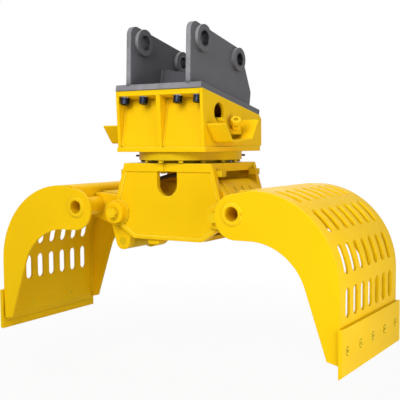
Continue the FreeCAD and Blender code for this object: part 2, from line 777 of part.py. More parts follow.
def frame_top_plate():
    plate = slab(-FRAME_TOP_HALF, FRAME_TOP_HALF, -FRAME_IN, FRAME_IN, FRAME_UNDER, FRAME_TOP_Z)
    holes = ring_bolt_holes(INNER_BOLT_COUNT, INNER_BOLT_PITCH_R, INNER_BOLT_START, FRAME_UNDER, FRAME_TOP_Z)
    return plate.cut(holes + [rod_z(0, 0, ROTOR_R, FRAME_UNDER, FRAME_TOP_Z)])


def frame_outline():
    right = [(x, z, r) for (x, z), r in zip(FRAME_SIDE, (30, 60, 60, 40))]
    left = [(-x, z, r) for x, z, r in right]
    return rounded(left + right[::-1] + [(FRAME_TOP_HALF, FRAME_TOP_Z), (-FRAME_TOP_HALF, FRAME_TOP_Z)],
                   on_xz)


def frame_recess():
    """Shallow sloping recess inside the front plate's rim, and the groove over it."""
    face = Part.Face(frame_outline())
    wires = []
    for inset, level in ((RIM_W, FRAME_FACE), (RIM_W + RIM_SLOPE, FRAME_FACE - RIM_D)):
        wire = face.makeOffset2D(-inset).OuterWire
        wire.translate(V(0, level, 0))
        wires.append(wire)
    recess = Part.makeLoft(wires, True)
    half = FRAME_TOP_HALF + PIVOT_X
    above = slab(-half, half, FRAME_IN, FRAME_FACE + RIM_D, RIM_TOP, FRAME_TOP_Z)
    rings = [rod_y(x, PIVOT_Z, PIVOT_RING_R + RIM_SLOPE, FRAME_IN, FRAME_FACE + RIM_D)
             for x in (-PIVOT_X, PIVOT_X)]
    groove = slab(GROOVE_X0, GROOVE_X1, FRAME_FACE - GROOVE_D, FRAME_FACE, RIM_TOP, FRAME_TOP_Z)
    return [recess.cut([above] + rings), groove]


def frame_plate(front):
    """Front or rear plate; the front one has the arched window."""
    plate = prism(frame_outline(), on_xz, FRAME_IN, FRAME_FACE)
    pivots = [rod_y(x, PIVOT_Z, PIVOT_PIN_R + PIVOT_FIT, FRAME_IN, FRAME_FACE + PIVOT_RING_T)
              for x in (-PIVOT_X, PIVOT_X)]
    rings = [rod_y(x, PIVOT_Z, PIVOT_RING_R, FRAME_FACE, FRAME_FACE + PIVOT_RING_T)
             for x in (-PIVOT_X, PIVOT_X)]
    plate = plate.fuse(rings).cut(pivots)
    if not front:
        return plate.removeSplitter()
    arch_foot = WINDOW_ARCH_Z - WINDOW_HALF
    window = rounded(((-WINDOW_HALF, FRAME_UNDER), (-WINDOW_HALF, arch_foot, WINDOW_HALF),
                      (WINDOW_HALF, arch_foot, WINDOW_HALF), (WINDOW_HALF, FRAME_UNDER)), on_xz)
    opening = prism(window, on_xz, FRAME_IN, FRAME_FACE)
    return mirror_y(plate.cut([opening] + frame_recess()).removeSplitter())


def frame_belly_plate():
    return slab(BELLY_LEFT, BELLY_RIGHT, -FRAME_IN, FRAME_IN, FRAME_FOOT, FRAME_FOOT + BELLY_T)


def frame_brackets():
    """Blocks in the corners under the top plate, behind the front plate and before the rear one."""
    inner = FRAME_IN - BRACKET_D
    foot = BRACKET_TOP - BRACKET_H
    block = slab(BRACKET_X0, BRACKET_X0 + BRACKET_W, inner, FRAME_IN, foot, BRACKET_TOP)
    pair = [block, mirror_x(block)]
    return Part.makeCompound(pair + [mirror_y(b) for b in pair])


def pivot_pin(side):
    """Main pin from ring face to ring face, threaded at both ends for its bolts."""
    half = FRAME_FACE + PIVOT_RING_T
    depth = 2 * CAP_BOLT_R
    pin = rod_y(side * PIVOT_X, PIVOT_Z, PIVOT_PIN_R, -half, half)
    tapped = rod_y(side * PIVOT_X, PIVOT_Z, CAP_BOLT_R, half - depth, half)
    return pin.cut([tapped, mirror_y(tapped)])


def pivot_caps():
    """Cap discs over the pin ends, one node for all four."""
    face = FRAME_FACE + PIVOT_RING_T
    cap = ring_y(PIVOT_X, PIVOT_Z, CAP_R, CAP_BOLT_R, face, face + CAP_T)
    rear = [cap, mirror_x(cap)]
    return Part.makeCompound(rear + [mirror_y(c) for c in rear])


def pivot_bolts():
    face = FRAME_FACE + PIVOT_RING_T + CAP_T
    washer = rod_y(PIVOT_X, PIVOT_Z, CAP_WASHER_R, face, face + CAP_WASHER_T)
    head = prism(hexagon(PIVOT_X, PIVOT_Z, CAP_BOLT_AF, on_xz), on_xz,
                 face + CAP_WASHER_T, face + CAP_WASHER_T + CAP_BOLT_H)
    shank = rod_y(PIVOT_X, PIVOT_Z, CAP_BOLT_R, face - CAP_T - 2 * CAP_BOLT_R, face)
    bolt = washer.fuse([head, shank]).removeSplitter()
    rear = [bolt, mirror_x(bolt)]
    return Part.makeCompound(rear + [mirror_y(b) for b in rear])


CROWN_TOP = CROWN_Z + CROWN_R
SHELL_OUT_X = CROWN_X + CROWN_R
SHELL_IN = SHELL_FACE - SHELL_SIDE_T
CYL_PIN = point_on(PIVOT_X, PIVOT_Z, CYL_PIN_REACH, CYL_PIN_ANGLE)
TIE_LEFT = point_on(-PIVOT_X, PIVOT_Z, TIE_REACH, TIE_LEFT_ANGLE)
TIE_RIGHT = point_on(PIVOT_X, PIVOT_Z, TIE_REACH, TIE_RIGHT_ANGLE)


def handed(shape, side):
    """The right-hand piece as it is, or mirrored for the left."""
    return shape if side > 0 else mirror_x(shape)


def shell_side(side, rear):
    """Side plate of a shell, drawn round its boss, crown arc and hollow inner edge."""
    reach = math.hypot(CROWN_X - BOSS_X, CROWN_TOP - BOSS_Z)
    facing = math.degrees(math.atan2(CROWN_TOP - BOSS_Z, CROWN_X - BOSS_X))
    touch = facing + math.degrees(math.acos(SHELL_BOSS_R / reach))
    boss = [point_on(BOSS_X, BOSS_Z, SHELL_BOSS_R, a) for a in (touch, (touch + 270) / 2, 270)]
    hollow = [point_on(HOLLOW_X, HOLLOW_Z, HOLLOW_R, a) for a in (90, (90 + HOLLOW_END) / 2, HOLLOW_END)]
    crown = [point_on(CROWN_X, CROWN_Z, CROWN_R, a) for a in (0, 45, 90)]
    toe = (TOE_IN_X, TOE_IN_Z), (TOE_OUT_X, TOE_OUT_Z), (SHELL_OUT_X, EDGE_TOP)
    stops = [boss[2], hollow[0], hollow[2], *toe, crown[0], crown[2], boss[0]]
    edges = [arc_through(on_xz, *boss), arc_through(on_xz, *hollow), arc_through(on_xz, *crown)]
    for a, b in ((0, 1), (2, 3), (3, 4), (4, 5), (5, 6), (7, 8)):
        edges.append(Part.LineSegment(on_xz(*stops[a]), on_xz(*stops[b])).toShape())
    wire = Part.Wire(Part.__sortEdges__(edges))
    plate = prism(wire, on_xz, SHELL_IN, SHELL_FACE).cut(rod_y(TUBE_X, TUBE_Z, TUBE_R, SHELL_IN, SHELL_FACE))
    return handed(plate if rear else mirror_y(plate), side)


def slot_cutter(row, column):
    """One slot through the sheet, long side round the shell."""
    along = SLOT_FIRST + SLOT_STEP * row
    angle = max(along, 0) / CROWN_R
    drop = min(along, 0)
    y = (column - (SLOT_COLUMNS - 1) / 2) * SLOT_PITCH
    half = SLOT_LEN / 2 - SLOT_W / 2
    outline = belt(((y, -half, SLOT_W / 2), (y, half, SLOT_W / 2)), on_yz)
    depth = 6 * SHELL_SHEET_T
    cutter = prism(outline, on_yz, CROWN_R - depth, CROWN_R + depth)
    cutter.rotate(V(0, 0, 0), V(0, 1, 0), -math.degrees(angle))
    cutter.translate(V(CROWN_X, 0, CROWN_Z + drop))
    return cutter


EDGE_BOLT_Y = [(k - (EDGE_BOLT_COUNT - 1) / 2) * EDGE_BOLT_PITCH for k in range(EDGE_BOLT_COUNT)]


def edge_bolt_holes(radius, low, high):
    return [rod_x(y, EDGE_BOLT_Z, radius, low, high) for y in EDGE_BOLT_Y]


def shell_sheet(side):
    """Slotted sheet between the side plates, from the cutting edge over the crown to the tube."""
    inner_x = SHELL_OUT_X - SHELL_SHEET_T
    inner_top = CROWN_TOP - SHELL_SHEET_T
    outline = rounded(((inner_x, SHEET_FOOT_IN), (SHELL_OUT_X, SHEET_FOOT_OUT),
                       (SHELL_OUT_X, CROWN_TOP, CROWN_R),
                       (SHEET_TURN_X, CROWN_TOP, SHEET_TURN_R),
                       (SHEET_END_X, SHEET_END_Z), (SHEET_END_X + SHELL_SHEET_T, SHEET_END_Z),
                       (SHEET_TURN_X + SHELL_SHEET_T, inner_top, SHEET_TURN_R - SHELL_SHEET_T),
                       (inner_x, inner_top, CROWN_R - SHELL_SHEET_T)), on_xz)
    sheet = prism(outline, on_xz, -SHELL_IN, SHELL_IN)
    cuts = [slot_cutter(row, column) for row in range(SLOT_ROWS) for column in range(SLOT_COLUMNS)]
    cuts += edge_bolt_holes(EDGE_BOLT_R + SCREW_FIT, inner_x - SHELL_SHEET_T, SHELL_OUT_X)
    lobe = prism(arm_outlines()[1], on_xz, ARM_IN, ARM_OUT)
    cuts += [rod_y(TUBE_X, TUBE_Z, TUBE_R, -SHELL_IN, SHELL_IN), lobe, mirror_y(lobe)]
    return handed(sheet.cut(cuts), side)


def cutting_edge(side):
    """Bolted edge outside the sheet's foot, bevelled to its tip."""
    outer = SHELL_OUT_X + EDGE_T
    outline = rounded(((SHELL_OUT_X, EDGE_TOP), (outer, EDGE_TOP), (outer, EDGE_FOOT),
                       (SHELL_OUT_X + EDGE_T / 3, EDGE_TIP), (SHELL_OUT_X, EDGE_TIP)), on_xz)
    plate = prism(outline, on_xz, -EDGE_HALF, EDGE_HALF)
    cuts = edge_bolt_holes(EDGE_BOLT_R + SCREW_FIT, SHELL_OUT_X, outer)
    cuts += edge_bolt_holes(EDGE_SEAT_R, outer - EDGE_SEAT_D, outer)
    return handed(plate.cut(cuts), side)


def edge_bolts(side):
    """Socket screws in the counterbores of the cutting edge."""
    seat = SHELL_OUT_X + EDGE_T - EDGE_SEAT_D
    top = seat + EDGE_HEAD_H
    bolts = []
    for y in EDGE_BOLT_Y:
        head = rod_x(y, EDGE_BOLT_Z, EDGE_HEAD_R, seat, top)
        socket = prism(hexagon(y, EDGE_BOLT_Z, EDGE_SOCKET_AF, on_yz), on_yz, top - EDGE_HEAD_H / 2, top)
        shank = rod_x(y, EDGE_BOLT_Z, EDGE_BOLT_R, SHELL_OUT_X - SHELL_SHEET_T, seat)
        bolts.append(head.cut(socket).fuse(shank).removeSplitter())
    return handed(Part.makeCompound(bolts), side)


def cross_tube(side):
    return handed(ring_y(TUBE_X, TUBE_Z, TUBE_R, TUBE_BORE_R, -TUBE_HALF, TUBE_HALF), side)


def arm_outlines(grow=0.0):
    """The two lobes of an arm: cylinder pin to hub, and hub to cross tube."""
    hub = (PIVOT_X, PIVOT_Z, ARM_HUB_R + grow)
    return [belt(((*CYL_PIN, ARM_TOP_R + grow), hub), on_xz),
            belt((hub, (TUBE_X, TUBE_Z, ARM_TUBE_R + grow)), on_xz)]


def arm(side, rear):
    """Arm plate with its hub boss; the left arms also reach down to the tie pin."""
    plate = prism(arm_outlines()[0], on_xz, ARM_IN, ARM_OUT)
    extra = [prism(arm_outlines()[1], on_xz, ARM_IN, ARM_OUT)]
    if side < 0 or not rear:
        extra.append(rod_y(PIVOT_X, PIVOT_Z, HUB_BOSS_R, ARM_IN - HUB_BOSS_T, ARM_IN))
    bores = [rod_y(PIVOT_X, PIVOT_Z, PIVOT_BUSH_R, ARM_IN - HUB_BOSS_T, ARM_OUT),
             rod_y(*CYL_PIN, CYL_PIN_R, ARM_IN, ARM_OUT),
             rod_y(TUBE_X, TUBE_Z, TUBE_R, ARM_IN, ARM_OUT)]
    if side < 0:
        tie_x = -TIE_LEFT[0]
        lever = belt(((PIVOT_X, PIVOT_Z, ARM_HUB_R), (tie_x, TIE_LEFT[1], LOWER_HUB_R)), on_xz)
        extra.append(prism(lever, on_xz, ARM_IN, ARM_OUT))
        bores.append(rod_y(tie_x, TIE_LEFT[1], TIE_PIN_R, ARM_IN, ARM_OUT))
    plate = plate.fuse(extra).cut(bores).removeSplitter()
    return handed(plate if rear else mirror_y(plate), side)


def arm_cover(side):
    """Bent sheet between the arms, over the cylinder pin and on to the cross tube."""
    outer = [prism(w, on_xz, -ARM_IN, ARM_IN) for w in arm_outlines(COVER_PROUD)]
    inner = [prism(w, on_xz, -ARM_IN, ARM_IN) for w in arm_outlines(COVER_PROUD - COVER_T)]
    band = outer[0].fuse(outer[1]).cut(inner)
    reach = 2 * CYL_PIN_REACH
    start = point_on(*CYL_PIN, reach, COVER_TO)
    above = rounded((CYL_PIN, (TUBE_X, TUBE_Z), (TUBE_X, start[1]), start), on_xz)
    band = band.common(prism(above, on_xz, -ARM_IN, ARM_IN))
    band = band.cut([plug_slot(k) for k in range(PLUG_COUNT)])
    return handed(band.removeSplitter(), side)


def plug_slot(k):
    """Short slot for a plug weld, square to the slope of the cover."""
    y = (k - (PLUG_COUNT - 1) / 2) * PLUG_PITCH
    half = (PLUG_LEN - PLUG_W) / 2
    cutter = prism(belt(((-half, y, PLUG_W / 2), (half, y, PLUG_W / 2)), on_xy), on_xy, -COVER_T, 2 * COVER_T)
    slope = math.atan2(PIVOT_Z - CYL_PIN[1], PIVOT_X - CYL_PIN[0])
    lean = math.asin((ARM_HUB_R - ARM_TOP_R) / CYL_PIN_REACH)
    cutter.rotate(V(0, 0, 0), V(0, 1, 0), -math.degrees(slope + lean))
    surface = ARM_TOP_R + COVER_PROUD - COVER_T / 2
    normal = slope + lean + math.pi / 2
    back = CYL_PIN_REACH / 4
    cutter.translate(V(CYL_PIN[0] + surface * math.cos(normal) + back * math.cos(slope + lean), 0,
                       CYL_PIN[1] + surface * math.sin(normal) + back * math.sin(slope + lean)))
    return cutter


def pivot_bushes(side):
    low = ARM_IN - HUB_BOSS_T
    bush = ring_y(PIVOT_X, PIVOT_Z, PIVOT_BUSH_R, PIVOT_PIN_R + PIVOT_FIT, low, ARM_OUT)
    return handed(both_faces(bush), side)


def cylinder_pin(side):
    """Pin through both arms with the two sleeves that hold the eye in the middle."""
    pin = rod_y(*CYL_PIN, CYL_PIN_R, -ARM_OUT, ARM_OUT)
    start = EYE_HALF + SIDE_GAP
    front = mirror_y(ring_y(*CYL_PIN, PIN_SLEEVE_R, CYL_PIN_R, start, ARM_IN))
    end = ARM_IN if side < 0 else TIE_Y - TIE_END_HALF - SIDE_GAP
    rear = ring_y(*CYL_PIN, PIN_SLEEVE_R, CYL_PIN_R, start, end)
    return handed(Part.makeCompound([pin, front, rear]), side)


def tie_sleeve():
    """Sleeve on the tie pin between the left front arm and the tie rod's eye."""
    return ring_y(*TIE_LEFT, LOWER_HUB_R, TIE_PIN_R, -ARM_IN, TIE_EYE_Y0 - SIDE_GAP)


def tie_pin():
    return rod_y(*TIE_LEFT, TIE_PIN_R, -ARM_OUT, ARM_OUT)


def tie_lug():
    """Fork on the right hub: two cheeks either side of the tie rod's end."""
    near = TIE_Y - TIE_END_HALF - SIDE_GAP
    far = TIE_Y + TIE_END_HALF + SIDE_GAP
    outline = belt(((*TIE_RIGHT, LUG_R), (PIVOT_X, PIVOT_Z, HUB_BOSS_R)), on_xz)
    cheeks = prism(outline, on_xz, near - LUG_T, near).fuse(prism(outline, on_xz, far, ARM_IN))
    hub = rod_y(PIVOT_X, PIVOT_Z, HUB_BOSS_R, near - LUG_T, ARM_IN)
    bores = [rod_y(PIVOT_X, PIVOT_Z, PIVOT_BUSH_R, ARM_IN - HUB_BOSS_T, ARM_IN),
             rod_y(PIVOT_X, PIVOT_Z, PIVOT_PIN_R + SIDE_GAP, near - LUG_T, ARM_IN),
             rod_y(*TIE_RIGHT, TIE_PIN_R, near - LUG_T, ARM_IN),
             rod_y(*CYL_PIN, PIN_SLEEVE_R, near - LUG_T, near),
             rod_y(*CYL_PIN, CYL_PIN_R, far, ARM_IN)]
    return cheeks.fuse(hub).cut(bores).removeSplitter()


BARREL_START = -CYL_PIN[0] + CYL_END
ROD_EYE_EDGE = CYL_PIN[0] - EYE_R
GLAND_END = ROD_EYE_EDGE - GLAND_SPARE
GLAND_START = GLAND_END - GLAND_LEN
BORE_START = BARREL_START + CYL_HEAD


def cylinder_barrel():
    """Eye, neck, end cap and tube in one welded piece, with two port blocks."""
    z = CYL_PIN[1]
    eye = rod_y(-CYL_PIN[0], z, EYE_R, -EYE_HALF, EYE_HALF)
    neck = rod_x(0, z, CYL_NECK_R, -CYL_PIN[0], BARREL_START)
    tube = rod_x(0, z, BARREL_R, BARREL_START, GLAND_START)
    ports = [Part.makeCylinder(PORT_BLOCK_R, BARREL_R + PORT_BLOCK_H, V(x, 0, z), V(0, -1, 0))
             for x in (BORE_START + PORT_BLOCK_R, GLAND_START - 2 * PORT_BLOCK_R)]
    bore = rod_x(0, z, BARREL_BORE_R, BORE_START, GLAND_START)
    pin_bore = rod_y(-CYL_PIN[0], z, CYL_PIN_R + ROD_FIT, -EYE_HALF, EYE_HALF)
    return eye.fuse([neck, tube] + ports).cut([bore, pin_bore]).removeSplitter()


def cylinder_gland():
    z = CYL_PIN[1]
    body = rod_x(0, z, BARREL_R, GLAND_START, GLAND_END)
    return body.cut(rod_x(0, z, ROD_R + ROD_FIT, GLAND_START, GLAND_END))


def cylinder_rod():
    x, z = CYL_PIN
    eye = rod_y(x, z, EYE_R, -EYE_HALF, EYE_HALF)
    rod = rod_x(0, z, ROD_R, BORE_START + GLAND_SPARE, x)
    return eye.fuse(rod).cut(rod_y(x, z, CYL_PIN_R + ROD_FIT, -EYE_HALF, EYE_HALF)).removeSplitter()


def cylinder_piston():
    z = CYL_PIN[1]
    start = BORE_START + GLAND_SPARE
    piston = rod_x(0, z, BARREL_BORE_R - ROD_FIT, start, start + PISTON_LEN)
    return piston.cut(rod_x(0, z, ROD_R, start, start + PISTON_LEN))


def tie_rod():
    """Wide eye on the left tie pin, bar, and narrow eye with its stub pin in the right fork."""
    left = V(TIE_LEFT[0], TIE_Y, TIE_LEFT[1])
    right = V(TIE_RIGHT[0], TIE_Y, TIE_RIGHT[1])
    bar = Part.makeCylinder(TIE_BAR_R, (right - left).Length, left, right - left)
    wide = rod_y(*TIE_LEFT, TIE_EYE_R, TIE_EYE_Y0, TIE_EYE_Y1)
    narrow = rod_y(*TIE_RIGHT, TIE_END_R, TIE_Y - TIE_END_HALF, TIE_Y + TIE_END_HALF)
    bores = [rod_y(*TIE_LEFT, TIE_PIN_R + ROD_FIT, TIE_EYE_Y0, TIE_EYE_Y1),
             rod_y(*TIE_RIGHT, TIE_PIN_R, TIE_Y - TIE_END_HALF, TIE_Y + TIE_END_HALF)]
    return bar.fuse([wide, narrow]).cut(bores).removeSplitter()


def tie_end_pin():
    return rod_y(*TIE_RIGHT, TIE_PIN_R, TIE_Y - TIE_END_HALF, TIE_Y + TIE_END_HALF)


def supply_hose():
    """Tube of straight runs joined by tangent arcs along the hose route."""
    points = [V(*p) for p in HOSE_ROUTE]
    edges = []
    start = points[0]
    for i in range(1, len(points) - 1):
        back = (points[i - 1] - points[i])
        ahead = (points[i + 1] - points[i])
        turn = math.pi - back.getAngle(ahead)
        radius = 0.45 * min(back.Length, ahead.Length) / math.tan(turn / 2)
        reach = radius * math.tan(turn / 2)
        back.normalize()
        ahead.normalize()
        middle = (back + ahead).normalize()
        centre = points[i] + middle * (radius / math.cos(turn / 2))
        edges.append(Part.LineSegment(start, points[i] + back * reach).toShape())
        edges.append(Part.Arc(points[i] + back * reach, centre - middle * radius,
                              points[i] + ahead * reach).toShape())
        start = points[i] + ahead * reach
        print("hose bend", i, "radius", round(radius, 1))
    edges.append(Part.LineSegment(start, points[-1]).toShape())
    path = Part.Wire(edges)
    heading = (points[1] - points[0]).normalize()
    section = Part.Wire(Part.Circle(points[0], heading, HOSE_R).toShape())
    hose = path.makePipeShell([section], True, False)
    print("hose length", round(path.Length, 1), "volume", round(hose.Volume),
          "section times length", round(math.pi * HOSE_R ** 2 * path.Length))
    return hose


def hose_end():
    """Collar on the hose's far end with a flange on the inner face of the front plate."""
    last = V(*HOSE_ROUTE[-1])
    heading = (last - V(*HOSE_ROUTE[-2])).normalize()
    middle = -FRAME_IN + HOSE_FLANGE_T / 2
    length = (middle - last.y) / heading.y
    centre = last + heading * length
    flange = rod_y(centre.x, centre.z, HOSE_FLANGE_R, -FRAME_IN, -FRAME_IN + HOSE_FLANGE_T)
    collar = Part.makeCylinder(HOSE_R + HOSE_WALL, length, last, heading)
    return flange.fuse(collar).removeSplitter()


SHELLS = (("left", -1), ("right", 1))
FACES = (("front", False), ("rear", True))


def main():
    os.makedirs("parts", exist_ok=True)
    put("adapter_plate", adapter_plate())
    put("adapter_cross_plate", cross_plate())
    put("pin_bushes", Part.makeCompound([bushes(STICK_U, STICK_N, STICK_PIN_R),
                                         bushes(LINK_U, LINK_N, LINK_PIN_R)]))
    put("adapter_screws", adapter_screws())
    put("box_top_plate", box_top_plate())
    put("box_base_plate", box_base_plate())
    put("box_front_panel", Part.makeCompound([box_front_panel(), box_front_rib()]))
    put("box_rear_panel", box_rear_panel())
    put("slew_ring_outer", slew_ring_outer())
    put("ring_bolts_outer", ring_bolts(RING_BOLT_COUNT, RING_BOLT_PITCH_R, RING_BOLT_START, RING_BOLT_AF,
                                       (-RING_H - RING_BOLT_H, -RING_H), BOX_BASE_T))
    put("slew_ring_inner", slew_ring_inner())
    put("ring_bolts_inner", ring_bolts(INNER_BOLT_COUNT, INNER_BOLT_PITCH_R, INNER_BOLT_START, INNER_BOLT_AF,
                                       (FRAME_UNDER - RING_BOLT_H, FRAME_UNDER), -RING_LIFT))
    put("box_fittings", Part.makeCompound([hose_fittings(-1), hose_fittings(1), grease_nipples()]))
    put("hose_guards", Part.makeCompound([guard(-1), guard(1)]))
    put("slew_motor", slew_motor())
    put("drive_pinion", drive_pinion())
    put("union_housing", union_housing())
    put("union_rotor", union_rotor())
    put("frame_top_plate", frame_top_plate())
    put("frame_belly_plate", frame_belly_plate())
    put("frame_brackets", frame_brackets())
    put("pivot_pins", Part.makeCompound([pivot_pin(-1), pivot_pin(1)]))
    put("pivot_caps", pivot_caps())
    put("pivot_bolts", pivot_bolts())
    put("supply_hose", supply_hose())
    put("hose_end", hose_end())
    put("cylinder_barrel", cylinder_barrel())
    put("cylinder_gland", cylinder_gland())
    put("cylinder_rod", Part.makeCompound([cylinder_rod(), cylinder_piston()]))
    put("tie_rod", Part.makeCompound([tie_rod(), tie_end_pin()]))
    put("tie_pin", Part.makeCompound([tie_pin(), tie_sleeve()]))
    put("tie_lug", tie_lug())
    for name, rear in FACES:
        put("frame_" + name + "_plate", frame_plate(not rear))
    for name, side in SHELLS:
        put("adapter_ear_" + name, ear(side))
        put("box_side_" + name, box_side(side))
        put(name + "_sheet", shell_sheet(side))
        put(name + "_cutting_edge", cutting_edge(side))
        put(name + "_edge_bolts", edge_bolts(side))
        put(name + "_cross_tube", cross_tube(side))
        put(name + "_arm_cover", arm_cover(side))
        put(name + "_pivot_bushes", pivot_bushes(side))
        put(name + "_cylinder_pin", cylinder_pin(side))
        for face, rear in FACES:
            put(name + "_side_" + face, shell_side(side, rear))
            put(name + "_arm_" + face, arm(side, rear))


main()
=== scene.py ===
"""Looks of the multi grapple: paint, welds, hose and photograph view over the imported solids."""

import math
from random import Random

import bmesh
import bpy
from mathutils import Matrix, Vector


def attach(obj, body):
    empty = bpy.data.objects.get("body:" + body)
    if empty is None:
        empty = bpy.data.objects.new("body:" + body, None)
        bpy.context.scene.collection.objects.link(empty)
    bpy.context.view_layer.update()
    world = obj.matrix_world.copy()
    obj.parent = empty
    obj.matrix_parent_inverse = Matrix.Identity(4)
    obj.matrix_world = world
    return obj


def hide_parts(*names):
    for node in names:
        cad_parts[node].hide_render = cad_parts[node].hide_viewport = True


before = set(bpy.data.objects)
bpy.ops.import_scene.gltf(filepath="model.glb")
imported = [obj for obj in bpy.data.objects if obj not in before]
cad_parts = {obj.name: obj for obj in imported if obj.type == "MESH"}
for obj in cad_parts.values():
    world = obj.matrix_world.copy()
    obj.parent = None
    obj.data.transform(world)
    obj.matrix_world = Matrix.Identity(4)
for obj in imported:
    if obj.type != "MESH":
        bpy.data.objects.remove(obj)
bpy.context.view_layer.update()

# Drawing frame: millimetres from the slew axis and the underside of the box's base plate.
# It lies this far, in metres, from the part's own origin.
SLEW_Y = 0.18343
SLEW_Z = -0.52779


def at(x, y, z):
    """A point of the drawing frame, in metres in the part's frame."""
    return Vector((x / 1000, y / 1000 + SLEW_Y, z / 1000 + SLEW_Z))


# Shader nodes


def coordinates(tree, kind="Object"):
    """Where the shaded point lies, in the piece's own frame unless another kind is asked for."""
    return tree.nodes.new("ShaderNodeTexCoord").outputs[kind]


def height_in(tree, vector):
    """The Z share of a vector."""
    node = tree.nodes.new("ShaderNodeSeparateXYZ")
    tree.links.new(vector, node.inputs["Vector"])
    return node.outputs["Z"]


def noise(tree, grain, detail=3.0):
    """Noise in the piece's own frame, finer as the grain grows."""
    node = tree.nodes.new("ShaderNodeTexNoise")
    node.inputs["Scale"].default_value = grain
    node.inputs["Detail"].default_value = detail
    node.inputs["Roughness"].default_value = 0.5
    tree.links.new(coordinates(tree), node.inputs["Vector"])
    return node.outputs["Fac"]


def ramp(tree, value, stops):
    """A colour ramp over a value: stops are (place, colour) pairs."""
    node = tree.nodes.new("ShaderNodeValToRGB")
    elements = node.color_ramp.elements
    while len(elements) < len(stops):
        elements.new(0.5)
    for element, (place, colour) in zip(elements, stops):
        element.position = place
        element.color = (*colour, 1.0)
    tree.links.new(value, node.inputs["Fac"])
    return node.outputs["Color"]


def rescaled(tree, value, before, after):
    """A value moved from one range to another and held at its ends."""
    node = tree.nodes.new("ShaderNodeMapRange")
    node.inputs["From Min"].default_value = before[0]
    node.inputs["From Max"].default_value = before[1]
    node.inputs["To Min"].default_value = after[0]
    node.inputs["To Max"].default_value = after[1]
    tree.links.new(value, node.inputs["Value"])
    return node.outputs["Result"]


def worked_out(tree, operation, first, second):
    """Two values put together by one operation of the math node."""
    node = tree.nodes.new("ShaderNodeMath")
    node.operation = operation
    tree.links.new(first, node.inputs[0])
    tree.links.new(second, node.inputs[1])
    return node.outputs["Value"]


def blend(tree, kind, first, second):
    """Two colours put together, kind is MULTIPLY or ADD."""
    node = tree.nodes.new("ShaderNodeMix")
    node.data_type = "RGBA"
    node.blend_type = kind
    node.inputs["Factor"].default_value = 1.0
    tree.links.new(first, node.inputs["A"])
    tree.links.new(second, node.inputs["B"])
    return node.outputs["Result"]


def grey(value):
    """A colour with all three shares alike."""
    return (value, value, value)


def share_towards(tree, normal, direction):
    """How far a normal looks in a direction of the piece's own frame."""
    turn = tree.nodes.new("ShaderNodeVectorTransform")
    turn.vector_type = "NORMAL"
    turn.convert_from = "WORLD"
    turn.convert_to = "OBJECT"
    tree.links.new(normal, turn.inputs["Vector"])
    dot = tree.nodes.new("ShaderNodeVectorMath")
    dot.operation = "DOT_PRODUCT"
    dot.inputs[1].default_value = direction
    tree.links.new(turn.outputs["Vector"], dot.inputs[0])
    return dot.outputs["Value"]


def rounded_normal(tree, width, samples):
    """The normal as if all edges were rounded by the width."""
    bevel = tree.nodes.new("ShaderNodeBevel")
    bevel.samples = samples
    bevel.inputs["Radius"].default_value = width
    return bevel.outputs["Normal"]


# Grain of each noise, finer as it grows

DRIFT_GRAIN = 3.0               # slow drift of a paint's colour
SHEEN_GRAIN = 9.0               # roughness of a paint
# patches of the painted highlight on the front faces
FRONT_HIGHLIGHT_GRAIN = 14.0
STAIN_GRAIN = 40.0              # colour of bare metal
RUBBER_GRAIN = 60.0
CHIP_GRAIN = 90.0
POLISH_GRAIN = 120.0            # roughness of bare metal
PEEL_GRAIN = 260.0              # orange peel of sprayed paint
TURNING_GRAIN = 700.0           # turning marks
CLOTH_GRAIN = 900.0             # cloth wrap of the hose

# Painted shade and highlights, chips and bare iron of the paint; widths, reaches and heights are in metres

SHADE_REACH = 0.045             # how far the painted shade of corners reaches
SHADE_OPEN = 0.75               # share of free view from which nothing is darkened
SHADE_SAMPLES = 8
SHADE_TONE = (0.42, 0.40, 0.09)
SLOT_SHADE_TONE = (0.05, 0.04, 0.01)
DEEP_SHADE_TONE = (0.05, 0.035, 0.015)
UNDER_TONE = 0.05               # what is left of a colour below the paint's limit
UNDER_FADE = 0.001              # and the height over which it goes
CHIP_TONE = (0.10, 0.055, 0.012)
CHIP_BLUR = 0.02                # softness of the chips' rims
FRONT_HIGHLIGHT_WIDTH = 0.006              # painted highlight strip along the edges
# way the painted highlight faces, towards the key lamp
FRONT_HIGHLIGHT_DIRECTION = (0, -0.85, 0.53)
FRONT_HIGHLIGHT_FACING = (0.45, 0.85)      # share that looks that way, where the painted highlight starts and is full
FRONT_HIGHLIGHT_LEAST = 0.45               # between the patches of the painted highlight
EDGE_HIGHLIGHT_WIDTH = 0.005              # painted highlight strip along upper edges
EDGE_LIFT = (0.05, 0.40)        # turn of the rounded edge, where its painted highlight starts and is full
EDGE_SAMPLES = 6


def painted_corner_shade(tree, dark):
    """Painted shade: dark where surfaces meet and close in the view, white elsewhere."""
    node = tree.nodes.new("ShaderNodeAmbientOcclusion")
    node.samples = SHADE_SAMPLES
    node.inputs["Distance"].default_value = SHADE_REACH
    return ramp(tree, node.outputs["AO"], [(0.0, dark), (SHADE_OPEN, grey(1.0))])


def darker_under(tree, height):
    """Nearly black below a height in the part's frame, white above it."""
    above = rescaled(tree, height_in(tree, coordinates(tree)), (height - UNDER_FADE, height), (0.0, 1.0))
    return ramp(tree, above, [(0.0, grey(UNDER_TONE)), (1.0, grey(1.0))])


def chipped(tree, share):
    """The chip tone in small spots, white elsewhere."""
    spots = noise(tree, CHIP_GRAIN, detail=2.0)
    return ramp(tree, spots, [(share - CHIP_BLUR, CHIP_TONE), (share, grey(1.0))])


